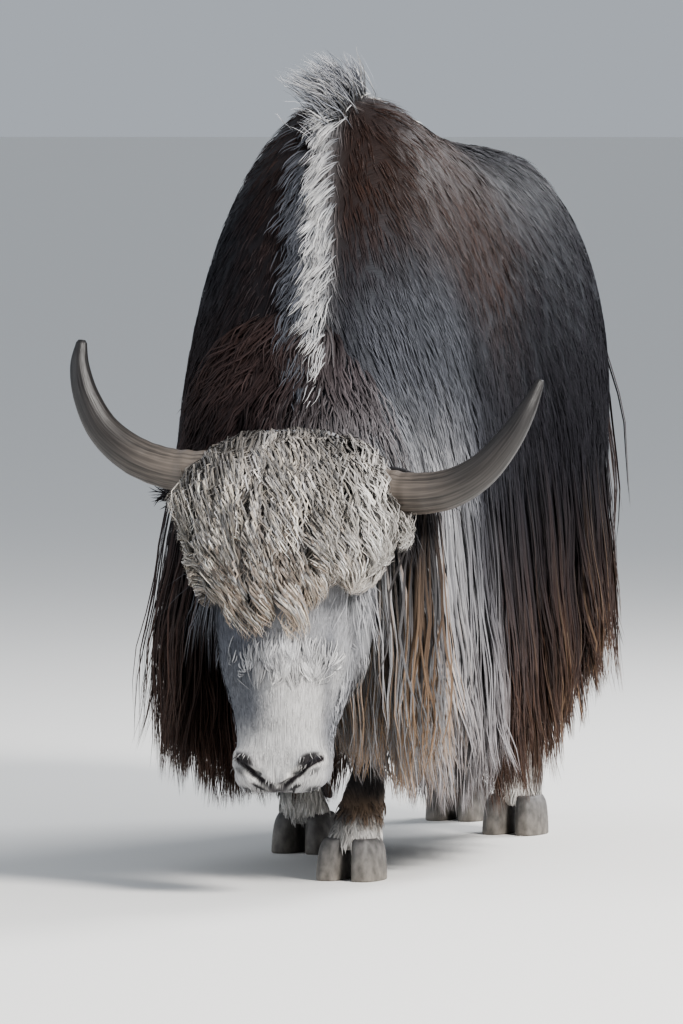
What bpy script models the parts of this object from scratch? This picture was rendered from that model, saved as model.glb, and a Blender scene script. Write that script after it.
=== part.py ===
"""A grazing domestic yak bull as a still, life-size museum model.

The animal stands on z = 0 with its head low. It faces -Y, and its left side is at +X. The body is
modelled whole from smooth sections, then parted with thin cuts into the pieces that a person would
name. Long hair is built as flat tapered locks, each rooted in the surface that it grows from.
"""

import math
import random

import bmesh
import bpy
import numpy as np
from mathutils import Matrix, Vector
from mathutils.bvhtree import BVHTree

# Driving dimensions, in metres
HUMP_TOP = 1.480
CUT_GAP = 0.0004
POLL = np.array([0.077, -0.715, 0.775])
MUZZLE = np.array([0.108, -0.850, 0.190])
HEAD_YAW = math.radians(8)
HORN_ROLL = math.radians(4)
HOOF_TOP = 0.078
EYE_RADIUS = 0.021
LOCK_SINK = 0.030
SIDES = {"left": 1, "right": -1}

# Where each foot stands: x and y of the middle of its sole
FEET = {
    "foreleg_left": (0.100, -0.450),
    "foreleg_right": (-0.180, 0.060),
    "hindleg_left": (0.070, 0.590),
    "hindleg_right": (-0.145, 0.860),
}

# Linear colour, roughness
FINISHES = {
    "dark_coat": ((0.022, 0.020, 0.022), 0.6),
    "grey_coat": ((0.20, 0.19, 0.18), 0.7),
    "face": ((0.38, 0.37, 0.36), 0.7),
    "horn": ((0.17, 0.145, 0.12), 0.45),
    "hoof": ((0.16, 0.145, 0.13), 0.5),
    "eye": ((0.012, 0.008, 0.006), 0.08),
}

DOWNWARDS = np.array([0.0, 0.0, -1.0])
draw = random.Random(7)


def clear_scene():
    for obj in list(bpy.data.objects):
        bpy.data.objects.remove(obj)


def finish(name):
    """The material of that name, made when first asked for."""
    found = bpy.data.materials.get(name)
    if found:
        return found
    colour, roughness = FINISHES[name]
    made = bpy.data.materials.new(name)
    made.use_nodes = True
    shader = made.node_tree.nodes["Principled BSDF"]
    shader.inputs["Base Color"].default_value = (*colour, 1)
    shader.inputs["Roughness"].default_value = roughness
    made.diffuse_color = (*colour, 1)
    return made


def unit(vectors):
    vectors = np.asarray(vectors, float)
    return vectors / np.linalg.norm(vectors, axis=-1, keepdims=True)


def smooth(keys, rows, at):
    """Rows read along a smooth curve through them, by cubic Hermite spans."""
    keys = np.asarray(keys, float)
    rows = np.asarray(rows, float).reshape(len(keys), -1)
    at = np.atleast_1d(np.asarray(at, float))
    step = np.diff(keys)[:, None]
    slope = np.diff(rows, axis=0) / step
    tangent = np.vstack([slope[:1], (slope[1:] + slope[:-1]) / 2, slope[-1:]])
    span = np.clip(np.searchsorted(keys, at, side="right") - 1, 0, len(keys) - 2)
    t = (at - keys[span])[:, None] / step[span]
    near, far = (1 + 2 * t) * (1 - t) ** 2, t * t * (3 - 2 * t)
    leave, arrive = t * (1 - t) ** 2, t * t * (t - 1)
    along = leave * tangent[span] + arrive * tangent[span + 1]
    return near * rows[span] + far * rows[span + 1] + along * step[span]


def make_object(name, points, faces, finish_name):
    mesh = bpy.data.meshes.new(name)
    mesh.from_pydata([tuple(p) for p in points], [], faces)
    shape = bmesh.new()
    shape.from_mesh(mesh)
    bmesh.ops.recalc_face_normals(shape, faces=shape.faces)
    bmesh.ops.triangulate(shape, faces=shape.faces)
    shape.to_mesh(mesh)
    shape.free()
    mesh.materials.append(finish(finish_name))
    obj = bpy.data.objects.new(name, mesh)
    bpy.context.scene.collection.objects.link(obj)
    return obj


def tube_faces(count, around):
    """Four-sided faces between neighbouring rings of points."""
    faces = []
    for i in range(count - 1):
        for j in range(around):
            a, b = i * around + j, i * around + (j + 1) % around
            faces.append((a, b, b + around, a + around))
    return faces


def closed_form(name, rings, finish_name):
    """A closed mesh over rings of points, each end filled by a fan to its middle."""
    rings = np.asarray(rings, float)
    count, around, _ = rings.shape
    points = [*rings.reshape(-1, 3), rings[0].mean(axis=0), rings[-1].mean(axis=0)]
    faces = tube_faces(count, around)
    last = (count - 1) * around
    for j in range(around):
        k = (j + 1) % around
        faces.append((count * around, k, j))
        faces.append((count * around + 1, last + j, last + k))
    return make_object(name, points, faces, finish_name)


def sweep(spine, wide, front, back, lateral=(1, 0, 0), power=2.0, around=16):
    """Rings round a spine. Wide is the half width, and front and back are the depths each way."""
    spine = np.asarray(spine, float)
    wide, front, back = (np.broadcast_to(v, len(spine))[:, None, None] for v in (wide, front, back))
    along = unit(np.gradient(spine, axis=0))
    lateral = np.asarray(lateral, float)
    side = unit(lateral - (along @ lateral)[:, None] * along)
    ahead = np.cross(along, side)
    turn = np.linspace(0, 2 * math.pi, around, endpoint=False)
    across = np.sign(np.cos(turn)) * np.abs(np.cos(turn)) ** (2 / power)
    fore = (np.sign(np.sin(turn)) * np.abs(np.sin(turn)) ** (2 / power))[None, :, None]
    depth = np.where(fore > 0, front, back)
    return spine[:, None] + side[:, None] * wide * across[None, :, None] + ahead[:, None] * depth * fore


# Booleans and surfaces
def baked(obj):
    """Puts the result of obj's modifiers into its mesh."""
    bpy.context.view_layer.update()
    graph = bpy.context.evaluated_depsgraph_get()
    result = bpy.data.meshes.new_from_object(obj.evaluated_get(graph))
    obj.modifiers.clear()
    obj.data = result
    return obj


def combine(obj, operation, others):
    """One Boolean of obj with all the others, which are then removed."""
    group = bpy.data.collections.new("operands")
    bpy.context.scene.collection.children.link(group)
    for other in others:
        group.objects.link(other)
    step = obj.modifiers.new(operation.lower(), "BOOLEAN")
    step.operation = operation
    step.operand_type = "COLLECTION"
    step.collection = group
    step.solver = "MANIFOLD"
    baked(obj)
    bpy.data.collections.remove(group)
    for other in others:
        bpy.data.objects.remove(other)
    return obj


def copy_of(obj, name):
    made = bpy.data.objects.new(name, obj.data.copy())
    bpy.context.scene.collection.objects.link(made)
    return made


def grown(obj, by=CUT_GAP):
    """A copy of obj whose faces stand out from it by the gap, also beside sharp edges."""
    made = copy_of(obj, obj.name + "_grown")
    shape = bmesh.new()
    shape.from_mesh(made.data)
    shape.normal_update()
    moves = [v.normal * by * min(v.calc_shell_factor(), 3.0) for v in shape.verts]
    for vertex, move in zip(shape.verts, moves):
        vertex.co += move
    shape.to_mesh(made.data)
    shape.free()
    return made


def keep_largest(obj):
    """Leaves only the largest closed surface of obj."""
    shape = bmesh.new()
    shape.from_mesh(obj.data)
    bmesh.ops.remove_doubles(shape, verts=shape.verts, dist=1e-6)
    left, islands = set(shape.faces), []
    while left:
        island, ahead = set(), [left.pop()]
        while ahead:
            face = ahead.pop()
            island.add(face)
            for edge in face.edges:
                for other in edge.link_faces:
                    if other in left:
                        left.discard(other)
                        ahead.append(other)
        islands.append(island)
    islands.sort(key=len)
    spare = [face for island in islands[:-1] for face in island]
    bmesh.ops.delete(shape, geom=spare, context="FACES")
    bmesh.ops.triangulate(shape, faces=shape.faces)
    shape.to_mesh(obj.data)
    shape.free()
    return obj


def cut_clear(obj, neighbours):
    """Takes the neighbours and the gap round them out of obj."""
    return keep_largest(combine(obj, "DIFFERENCE", [grown(other) for other in neighbours]))


def fused(core, growth, neighbours):
    """Joins what grows from a core to it, once it is cut clear of the neighbours by the gap."""
    first = growth[0]
    combine(first, "UNION", growth[1:])
    combine(first, "DIFFERENCE", [grown(other) for other in neighbours])
    return keep_largest(combine(core, "UNION", [first]))


def surface_of(obj):
    """A search tree over the faces of obj."""
    points = [v.co.copy() for v in obj.data.vertices]
    return BVHTree.FromPolygons(points, [list(p.vertices) for p in obj.data.polygons])


def hit(tree, start, direction):
    """Where a ray first meets the surface, or nothing."""
    point = tree.ray_cast(Vector(start), Vector(unit(direction)))[0]
    return None if point is None else np.array(point)


# Locks of hair: shares of the length where a lock has a section, with its width and depth there
LOCK_PLACES = (0.0, 0.26, 0.60, 0.87)
LOCK_WIDTHS = (0.66, 1.0, 0.97, 0.70)
LOCK_DEPTHS = (1.0, 1.0, 0.85, 0.55)
# How high a laid lock lies over the surface at the places after its root, in shares of its rise
LAID_SHARES = (0.1, 0.5, 0.9, 1.0)


def lock_form(line, out, across, half_width, depth):
    """A flat tapered three-sided solid along a middle line, its ridge on the outside."""
    along = unit(np.gradient(line, axis=0))
    wide = unit(across - (along @ across)[:, None] * along)
    up = np.cross(along, wide)
    up = up * np.sign(up @ out)[:, None]
    rings = [
        (p - w * half_width * a, p + w * half_width * a, p + u * depth * b)
        for p, w, u, a, b in zip(line, wide, up, LOCK_WIDTHS, LOCK_DEPTHS)
    ]
    count = len(rings)
    points = [*np.array(rings).reshape(-1, 3), line[-1]]
    faces = tube_faces(count, 3)
    faces.append((0, 1, 2))
    last = 3 * (count - 1)
    faces += [(last + i, last + (i + 1) % 3, 3 * count) for i in range(3)]
    return make_object("lock", points, faces, "dark_coat")


def lock(root, out, hang, length, half_width, depth, stand, sway=0.0, wave=0.0, turns=1.0):
    """A lock that leaves the skin at its root, bends over and hangs.

    Its middle line is P(t) = (1-t)^2 a + 2t(1-t) b + t^2 c, from a, sunk under the root, over b,
    above the skin, to the tip c. A wave adds wave * t * sin(2 pi turns t) sideways.
    """
    out, hang = unit(out), unit(hang)
    across = unit(np.cross(hang, out))
    start = root - out * LOCK_SINK
    over = root + out * stand + hang * length * 0.28
    tip = root + out * stand * 0.7 + hang * length + across * sway
    t = np.array([*LOCK_PLACES, 1.0])[:, None]
    line = (1 - t) ** 2 * start + 2 * t * (1 - t) * over + t * t * tip
    line = line + across * wave * t * np.sin(2 * math.pi * turns * t)
    return lock_form(line, out, across, half_width, depth)


def laid_lock(tree, root, out, hang, length, half_width, depth, rise, sway, wave):
    """A lock that lies along the surface, and leaves it slowly towards its lifted tip."""
    out, hang = unit(out), unit(hang)
    across = unit(np.cross(hang, out))
    line, level = [root - out * LOCK_SINK], 0.0
    for t, share in zip((*LOCK_PLACES[1:], 1.0), LAID_SHARES):
        aside = sway * t + wave * t * math.sin(2 * math.pi * t)
        point = root + hang * length * t + across * aside
        found = hit(tree, point + out * 0.3, -out)
        if found is not None:
            level = float((found - point) @ out)
        line.append(point + out * (level + rise * share))
    return lock_form(np.array(line), out, across, half_width, depth)


# Torso: y, top, height of the widest line, bottom, half width, roundness of the upper half
TORSO_STATIONS = np.array([
    (-0.62, 0.980, 0.74, 0.53, 0.175, 2.0),
    (-0.50, 1.160, 0.74, 0.47, 0.236, 2.1),
    (-0.36, 1.370, 0.74, 0.44, 0.290, 2.2),
    (-0.22, HUMP_TOP, 0.76, 0.45, 0.304, 2.15),
    (-0.07, 1.460, 0.78, 0.46, 0.290, 2.15),
    (0.15, 1.415, 0.80, 0.45, 0.284, 2.1),
    (0.35, 1.395, 0.82, 0.44, 0.294, 2.0),
    (0.55, 1.385, 0.84, 0.46, 0.266, 1.85),
    (0.75, 1.360, 0.88, 0.52, 0.215, 1.8),
    (0.90, 1.285, 0.93, 0.62, 0.170, 1.9),
    (1.00, 1.185, 0.95, 0.72, 0.120, 2.0),
])
TORSO_FRONT, TORSO_BACK, TORSO_CAP = -0.66, 1.03, 0.13
LOWER_ROUNDNESS = 2.2


def torso_section(y):
    """Top, widest line, bottom, half width and roundness of the torso at y."""
    y = np.atleast_1d(np.asarray(y, float))
    top, wide, bottom, half, power = smooth(TORSO_STATIONS[:, 0], TORSO_STATIONS[:, 1:], y).T
    from_end = np.minimum(y - TORSO_FRONT, TORSO_BACK - y)
    inset = np.clip((TORSO_CAP - from_end) / TORSO_CAP, 0, 0.985)
    small = np.sqrt(1 - inset**2)
    middle = (top + bottom) / 2
    return middle + (top - middle) * small, wide, middle + (bottom - middle) * small, half * small, power


def torso_form():
    ends = TORSO_CAP * np.array([0.02, 0.15, 0.45])
    inner = np.linspace(TORSO_FRONT + TORSO_CAP, TORSO_BACK - TORSO_CAP, 15)
    ys = np.concatenate([TORSO_FRONT + ends, inner, TORSO_BACK - ends[::-1]])
    top, wide, bottom, half, power = (v[:, None] for v in torso_section(ys))
    turn = np.linspace(0, 2 * math.pi, 24, endpoint=False)[None, :]
    cosine, sine = np.cos(turn), np.sin(turn)
    power = np.where(sine > 0, power, LOWER_ROUNDNESS)
    x = half * np.sign(cosine) * np.abs(cosine) ** (2 / power)
    height = np.where(sine > 0, top - wide, wide - bottom)
    z = wide + height * np.sign(sine) * np.abs(sine) ** (2 / power)
    y = np.broadcast_to(ys[:, None], x.shape)
    return closed_form("torso", np.stack([x, y, z], axis=-1), "dark_coat")


# Neck, from inside the shoulders to the back of the head: x, y, z, depth up and down, half width
NECK_STATIONS = np.array([
    (0.000, -0.150, 1.040, 0.330, 0.200),
    (0.012, -0.300, 0.945, 0.285, 0.212),
    (0.035, -0.430, 0.850, 0.235, 0.205),
    (0.062, -0.550, 0.765, 0.175, 0.175),
    (0.075, -0.645, 0.710, 0.130, 0.130),
])


def neck_form():
    rows = smooth(range(len(NECK_STATIONS)), NECK_STATIONS, np.linspace(0, len(NECK_STATIONS) - 1, 12))
    rings = sweep(rows[:, :3], rows[:, 4], rows[:, 3], rows[:, 3], around=18)
    return closed_form("neck", rings, "dark_coat")


# Head, in its own frame: across to the animal's left, out of the forehead, and down the face
DOWN_FACE = unit(MUZZLE - POLL)
LOOK = np.array([math.sin(HEAD_YAW), -math.cos(HEAD_YAW), 0.0])
OUT_OF_FACE = unit(LOOK - (LOOK @ DOWN_FACE) * DOWN_FACE)
ACROSS = np.cross(OUT_OF_FACE, DOWN_FACE)


def on_head(across, out, down):
    """A point in the head's own frame, in the model's frame."""
    return POLL + across * ACROSS + out * OUT_OF_FACE + down * DOWN_FACE


def head_axes(side):
    """Rows: outwards on that side, out of the face, down the face."""
    return np.array([side * ACROSS, OUT_OF_FACE, DOWN_FACE])


# Down the face, half width, depth in front, depth behind
HEAD_STATIONS = np.array([
    (-0.075, 0.075, 0.030, 0.050),
    (-0.050, 0.120, 0.060, 0.085),
    (0.000, 0.150, 0.085, 0.105),
    (0.080, 0.150, 0.100, 0.135),
    (0.160, 0.141, 0.104, 0.165),
    (0.250, 0.133, 0.098, 0.190),
    (0.340, 0.121, 0.088, 0.170),
    (0.430, 0.100, 0.079, 0.120),
    (0.500, 0.089, 0.071, 0.094),
    (0.555, 0.091, 0.066, 0.082),
    (0.585, 0.083, 0.056, 0.066),
    (0.602, 0.055, 0.036, 0.040),
])
EYE_PLACE = (0.126, 0.040, 0.215)


def head_form():
    at = np.concatenate([np.linspace(-0.075, 0.555, 15), [0.575, 0.590, 0.602]])
    half, front, back = smooth(HEAD_STATIONS[:, 0], HEAD_STATIONS[:, 1:], at).T
    spine = [on_head(0, 0, a) for a in at]
    return closed_form("head", sweep(spine, half, front, back, ACROSS, 2.3, 18), "face")


def ball(name, middle, radii, finish_name, axes, around=12, rings=7):
    """An ellipsoid with radii along the given axes."""
    polar = np.linspace(0, math.pi, rings + 2)[1:-1]
    turn = np.linspace(0, 2 * math.pi, around, endpoint=False)
    east, north = np.outer(np.sin(polar), np.cos(turn)), np.outer(np.sin(polar), np.sin(turn))
    local = np.stack([east, north, np.outer(np.cos(polar), np.ones(around))], axis=-1)
    obj = closed_form(name, np.asarray(middle) + (local * np.asarray(radii)) @ axes, finish_name)
    for pole, sign in zip(obj.data.vertices[-2:], (1, -1)):
        pole.co = np.asarray(middle) + sign * radii[2] * axes[2]
    return obj


def eye(side_name):
    side = SIDES[side_name]
    across, out, down = EYE_PLACE
    return ball("eye_" + side_name, on_head(side * across, out, down), (EYE_RADIUS,) * 3, "eye", np.eye(3))


def eyelids(side):
    """Upper and lower lid as one raised almond ring round the eye."""
    axes = head_axes(side)
    outward = unit(axes[0] + 0.35 * axes[1])
    forward = unit(axes[1] - 0.35 * axes[0])
    middle = on_head(side * EYE_PLACE[0], EYE_PLACE[1], EYE_PLACE[2])
    rings = []
    for turn in np.linspace(0, 2 * math.pi, 12, endpoint=False):
        place = middle + 0.006 * outward + 0.021 * math.cos(turn) * axes[2] + 0.015 * math.sin(turn) * forward
        away = unit(place - middle)
        rings.append([place + 0.0065 * d for d in (away, outward, -away, -outward)])
    rings = np.array(rings)
    count, around, _ = rings.shape
    faces = tube_faces(count, around)
    last = (count - 1) * around
    for j in range(around):
        k = (j + 1) % around
        faces.append((last + j, last + k, k, j))
    return make_object("lids", rings.reshape(-1, 3), faces, "face")


def mouth_cut():
    """A groove along the line of the mouth, from one corner round the muzzle to the other."""
    spine = [
        on_head(0.100 * math.sin(1.75 * t), -0.034 - 0.012 * abs(t), 0.606 - 0.125 * abs(t) ** 1.7)
        for t in np.linspace(-1.0, 1.0, 11)
    ]
    return closed_form("mouth", sweep(spine, 0.0045, 0.012, 0.012, OUT_OF_FACE, 2.0, 6), "face")


def nostril_axes(side):
    axes = head_axes(side)
    return np.array([unit(axes[0] + 0.5 * axes[2]), axes[1], unit(axes[2] - 0.5 * axes[0])])


def nostril_cut(side):
    middle = on_head(side * 0.050, 0.056, 0.568)
    return ball("nostril", middle, (0.020, 0.018, 0.009), "face", nostril_axes(side), 8, 4)


def nostril_rim(side):
    middle = on_head(side * 0.050, 0.044, 0.566)
    return ball("rim", middle, (0.031, 0.022, 0.021), "face", nostril_axes(side), 10, 5)


def lower_lip():
    return ball("lip", on_head(0, -0.058, 0.560), (0.058, 0.026, 0.034), "face", head_axes(1), 12, 5)


def jaw(side):
    """The round cheek muscle over the back of the jaw."""
    middle = on_head(side * 0.080, -0.085, 0.235)
    return ball("jaw", middle, (0.052, 0.085, 0.110), "face", head_axes(side), 12, 6)


def brow(side):
    """The bony rim over the eye."""
    middle = on_head(side * 0.108, 0.048, 0.170)
    return ball("brow", middle, (0.040, 0.036, 0.040), "face", head_axes(side), 10, 5)


def head(eyes):
    """The skull's form with its soft features, open where the eyes sit."""
    obj = head_form()
    added = [lower_lip()]
    for side in SIDES.values():
        added += [jaw(side), brow(side), nostril_rim(side), eyelids(side)]
    combine(obj, "UNION", added)
    cuts = [mouth_cut(), nostril_cut(1), nostril_cut(-1), *[grown(e) for e in eyes]]
    return keep_largest(combine(obj, "DIFFERENCE", cuts))


# Horns: across, out of the face, down the face, and thickness along the horn
HORN_STATIONS = {
    "left": np.array([
        (0.090, 0.000, 0.004, 0.0430), (0.165, 0.004, 0.026, 0.0420), (0.230, 0.012, 0.032, 0.0395),
        (0.302, 0.026, 0.022, 0.0370), (0.362, 0.040, -0.012, 0.0315), (0.408, 0.050, -0.068, 0.0250),
        (0.438, 0.052, -0.126, 0.0175), (0.459, 0.048, -0.186, 0.0075),
    ]),
    "right": np.array([
        (0.090, 0.000, 0.004, 0.0430), (0.165, -0.004, 0.012, 0.0410), (0.236, -0.006, 0.008, 0.0385),
        (0.302, 0.002, -0.012, 0.0360), (0.358, 0.014, -0.052, 0.0310), (0.394, 0.026, -0.108, 0.0250),
        (0.412, 0.034, -0.165, 0.0185), (0.413, 0.036, -0.215, 0.0095),
    ]),
}


def horn(side_name):
    side = SIDES[side_name]
    table = HORN_STATIONS[side_name]
    path = smooth(range(len(table)), table, np.linspace(0, len(table) - 1, 14))
    level, tilt = math.cos(HORN_ROLL), math.sin(HORN_ROLL)
    spine = [on_head(side * a * level - d * tilt, o, d * level + side * a * tilt) for a, o, d, _ in path]
    rings = sweep(spine, path[:, 3], path[:, 3], path[:, 3], OUT_OF_FACE, 2.0, 10)
    return closed_form("horn_" + side_name, rings, "horn")


# Ears: length, half width, depth of the cup, thickness of the skin
EAR_LENGTH, EAR_HALF_WIDTH, EAR_CUP, EAR_WALL = 0.150, 0.040, 0.026, 0.005


def ear(side_name):
    """A cupped leaf that stands outwards behind the horn."""
    side = SIDES[side_name]
    axes = head_axes(side)
    root = on_head(side * 0.120, -0.052, 0.018)
    along = unit(axes[0] * 0.93 - axes[1] * 0.24 + axes[2] * 0.04)
    wide = unit(np.cross(along, axes[1]) * side)
    opening = unit(np.cross(wide, along) * side)
    rings = []
    for u in np.linspace(0, 1, 8):
        narrowing = max(math.sin(math.pi * min(u * 0.92 + 0.12, 1.0)) ** 0.7, 0.08)
        spread = EAR_HALF_WIDTH * narrowing
        cup = EAR_CUP * (1 - u) ** 0.8 * narrowing
        middle = root + along * EAR_LENGTH * u - opening * cup * 0.6
        v = np.linspace(-1, 1, 6)[:, None]
        outer = middle + wide * spread * v + opening * (cup * v * v - EAR_WALL)
        inner = middle + wide * spread * v * 0.86 + opening * (cup * v * v + EAR_WALL * (1 - v * v))
        rings.append([*outer, *inner[::-1]])
    return closed_form("ear_" + side_name, rings, "dark_coat")


# Legs: height, share of the way from the top's y to the sole's, half width, front, back
LEG_STATIONS = {
    "foreleg": np.array([
        (0.640, 0.00, 0.075, 0.095, 0.085),
        (0.520, 0.12, 0.066, 0.078, 0.074),
        (0.400, 0.30, 0.054, 0.058, 0.055),
        (0.340, 0.42, 0.052, 0.056, 0.046),
        (0.290, 0.52, 0.046, 0.046, 0.040),
        (0.210, 0.68, 0.038, 0.036, 0.038),
        (0.150, 0.80, 0.048, 0.044, 0.050),
        (0.110, 0.90, 0.052, 0.048, 0.048),
        (HOOF_TOP + CUT_GAP, 0.97, 0.056, 0.052, 0.052),
    ]),
    "hindleg": np.array([
        (0.860, -0.02, 0.085, 0.150, 0.120),
        (0.740, 0.00, 0.088, 0.140, 0.115),
        (0.620, 0.10, 0.072, 0.100, 0.085),
        (0.520, 0.40, 0.054, 0.062, 0.062),
        (0.450, 0.68, 0.048, 0.050, 0.058),
        (0.380, 0.76, 0.042, 0.042, 0.044),
        (0.250, 0.84, 0.036, 0.036, 0.038),
        (0.160, 0.90, 0.046, 0.042, 0.048),
        (0.110, 0.95, 0.050, 0.046, 0.046),
        (HOOF_TOP + CUT_GAP, 1.00, 0.054, 0.050, 0.050),
    ]),
}
# How far out and back the top of each leg lies
LEG_TOP = {"foreleg": (0.150, -0.27), "hindleg": (0.140, 0.66)}
# Height of the knee or hock, how far it stands behind the line of the leg, and over what height
LEG_BEND = {"foreleg": (0.340, -0.030, 0.10), "hindleg": (0.455, 0.115, 0.13)}


def leg(name):
    kind, side_name = name.split("_")
    table = LEG_STATIONS[kind]
    sole_x, sole_y = FEET[name]
    top_x, top_y = LEG_TOP[kind]
    top_x = top_x * SIDES[side_name]
    share = (table[0, 0] - table[:, 0]) / (table[0, 0] - table[-1, 0])
    at = np.linspace(0, len(table) - 1, 13)
    z, swing, half, front, back, down = smooth(range(len(table)), np.column_stack([table, share]), at).T
    bend_z, bend, reach = LEG_BEND[kind]
    x = top_x + (sole_x - top_x) * down
    y = top_y + (sole_y - top_y) * swing + bend * np.exp(-(((z - bend_z) / reach) ** 2))
    z[-1] = table[-1, 0]
    turn = np.linspace(0, 2 * math.pi, 10, endpoint=False)
    depth = np.where(np.sin(turn) < 0, front[:, None], back[:, None])
    rings = np.stack([
        x[:, None] + half[:, None] * np.cos(turn),
        y[:, None] + depth * np.sin(turn),
        np.repeat(z[:, None], len(turn), axis=1),
    ], axis=-1)
    return closed_form(name, rings, "grey_coat")


# Hooves: height, length ahead of the middle, width and length behind it
CLAW_STATIONS = (
    (0.0, 0.066, 0.060, 0.046),
    (0.035, 0.060, 0.058, 0.048),
    (HOOF_TOP, 0.047, 0.051, 0.046),
)
# Half the gap between the two claws of a foot, and how much wider it is at the toe
CLAW_SPLIT, CLAW_OPENING = 0.0045, 0.006


def inner_wall(share):
    """How far the inner wall lies from the middle of the foot, for a share of the way to the toe."""
    return CLAW_SPLIT + CLAW_OPENING * max(share, 0.0) ** 1.5


def claw(leg_name, half_name, outward):
    """One half of a cloven hoof: a rounded block whose inner wall opens towards the toe."""
    x, y = FEET[leg_name]
    rings = []
    for z, ahead, width, behind in CLAW_STATIONS:
        loop = []
        for share in np.sin(np.linspace(-math.pi / 2, math.pi / 2, 9)):
            inner, reach = inner_wall(share), ahead if share > 0 else behind
            round_off = max(1 - share**2, 0.0) ** 0.3
            loop.append((inner + (CLAW_SPLIT + width - inner) * round_off, -share * reach))
        loop += [(inner_wall(share), -share * ahead) for share in (0.6, 0.0)]
        rings.append([(x + outward * a, y + b, z) for a, b in loop])
    return closed_form(f"hoof_{leg_name.replace('leg', '')}_{half_name}", rings, "hoof")


# Tail, from the rump down: x, y, z, radius
TAIL_STATIONS = np.array([
    (0.000, 0.850, 1.225, 0.050),
    (0.000, 0.962, 1.172, 0.056),
    (0.004, 1.036, 1.065, 0.056),
    (0.016, 1.060, 0.925, 0.050),
    (0.030, 1.062, 0.780, 0.043),
    (0.042, 1.058, 0.640, 0.022),
])


def tail_core():
    rows = smooth(range(len(TAIL_STATIONS)), TAIL_STATIONS, np.linspace(0, len(TAIL_STATIONS) - 1, 11))
    rings = sweep(rows[:, :3], rows[:, 3] * 1.1, rows[:, 3], rows[:, 3], around=10)
    return closed_form("tail", rings, "dark_coat")


# Thin cuts that part the whole body: the slanting cut behind the neck, then slabs on each side
NECK_CUT = ((-0.315, 1.60), (-0.615, 0.30))
SLAB_TOP = 0.97
SLABS = {"shoulder": (-0.75, -0.22, 0.17), "flank": (-0.22, 0.42, 0.17), "haunch": (0.42, 1.20, 0.11)}


def neck_region(shift):
    """Everything in front of the slanting cut between neck and shoulders."""
    (top_y, top_z), (low_y, low_z) = NECK_CUT
    front = -1.3
    loop = [(front, top_z), (top_y + shift, top_z), (low_y + shift, low_z), (front, low_z)]
    return closed_form("region", [[(x, y, z) for y, z in loop] for x in (-0.7, 0.7)], "dark_coat")


def slab_region(part, side, spare):
    low, high, inner = SLABS[part]
    low, high, top = low + spare, high - spare, SLAB_TOP - spare
    loop = [(low, 0.2), (high, 0.2), (high, top), (low, top)]
    ends = (side * (inner + spare), side * 0.7)
    return closed_form("region", [[(x, y, z) for y, z in loop] for x in ends], "dark_coat")


def body_pieces():
    """Parts the body into torso, neck, and three slabs on each side."""
    whole = combine(torso_form(), "UNION", [neck_form()])
    pieces = {"neck": combine(copy_of(whole, "neck"), "INTERSECT", [neck_region(-CUT_GAP)])}
    combine(whole, "DIFFERENCE", [neck_region(0)])
    cuts = []
    for part in SLABS:
        for side_name, side in SIDES.items():
            name = f"{part}_{side_name}"
            pieces[name] = combine(copy_of(whole, name), "INTERSECT", [slab_region(part, side, CUT_GAP)])
            cuts.append(slab_region(part, side, 0))
    pieces["torso"] = combine(whole, "DIFFERENCE", cuts)
    return {name: keep_largest(piece) for name, piece in pieces.items()}


# Long hair. The hem of the skirts along the body: y, z
SKIRT_HEM = np.array([
    (-0.62, 0.215), (-0.45, 0.165), (-0.25, 0.150), (-0.10, 0.105), (0.06, 0.078),
    (0.25, 0.135), (0.45, 0.225), (0.65, 0.270), (0.85, 0.330), (1.00, 0.400),
])
# Root height, height of the tips over the hem, half width, depth, how far the lock stands out
SKIRT_TIERS = (
    (0.60, 0.000, 0.072, 0.020, 0.014),
    (0.75, 0.120, 0.070, 0.018, 0.034),
    (0.90, 0.290, 0.066, 0.016, 0.046),
)
SKIRT_SPACING = 0.112
SKIRT_STAGGER = 0.022
SKIRT_REACH = (-0.57, 0.99)


def skirt(slab, part, side):
    """Three tiers of locks that hang from one slab of the side, each over the gaps of the last."""
    low, high, _ = SLABS[part]
    low, high = max(low, SKIRT_REACH[0]) + 0.02, min(high, SKIRT_REACH[1]) - 0.02
    tree = surface_of(slab)
    locks = []
    for tier, (root_z, over_hem, half_width, depth, stand) in enumerate(SKIRT_TIERS):
        count = max(round((high - low) / SKIRT_SPACING) - tier % 2, 2)
        inset = (high - low) / (2 * count)
        for y in np.linspace(low + inset, high - inset, count):
            y = y + draw.uniform(-0.008, 0.008)
            bottom = float(torso_section(y)[2][0])
            height = max(root_z, bottom + 0.10) + draw.uniform(-1, 1) * SKIRT_STAGGER * (tier + 0.5)
            root = hit(tree, (side * 0.8, y, height), (-side, 0, 0))
            if root is None:
                continue
            hem = float(smooth(SKIRT_HEM[:, 0], SKIRT_HEM[:, 1], y)[0, 0])
            tip_z = hem + over_hem + draw.uniform(0.0, 0.035)
            wide = half_width * draw.uniform(0.92, 1.08)
            sway, wave = draw.uniform(-0.02, 0.02), draw.uniform(-0.012, 0.012)
            fall = height - tip_z
            locks.append(lock(root, (side, 0, 0), (0, 0.02, -1), fall, wide, depth, stand, sway, wave))
    return locks


# Rows of the forelock: count, spread and height of the roots, spread and height of the tips, stand
FORELOCK_ROWS = (
    (8, 0.105, -0.045, 0.238, 0.100, 0.062),
    (7, 0.132, 0.015, 0.222, 0.195, 0.052),
    (6, 0.108, 0.090, 0.150, 0.325, 0.036),
)


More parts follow.
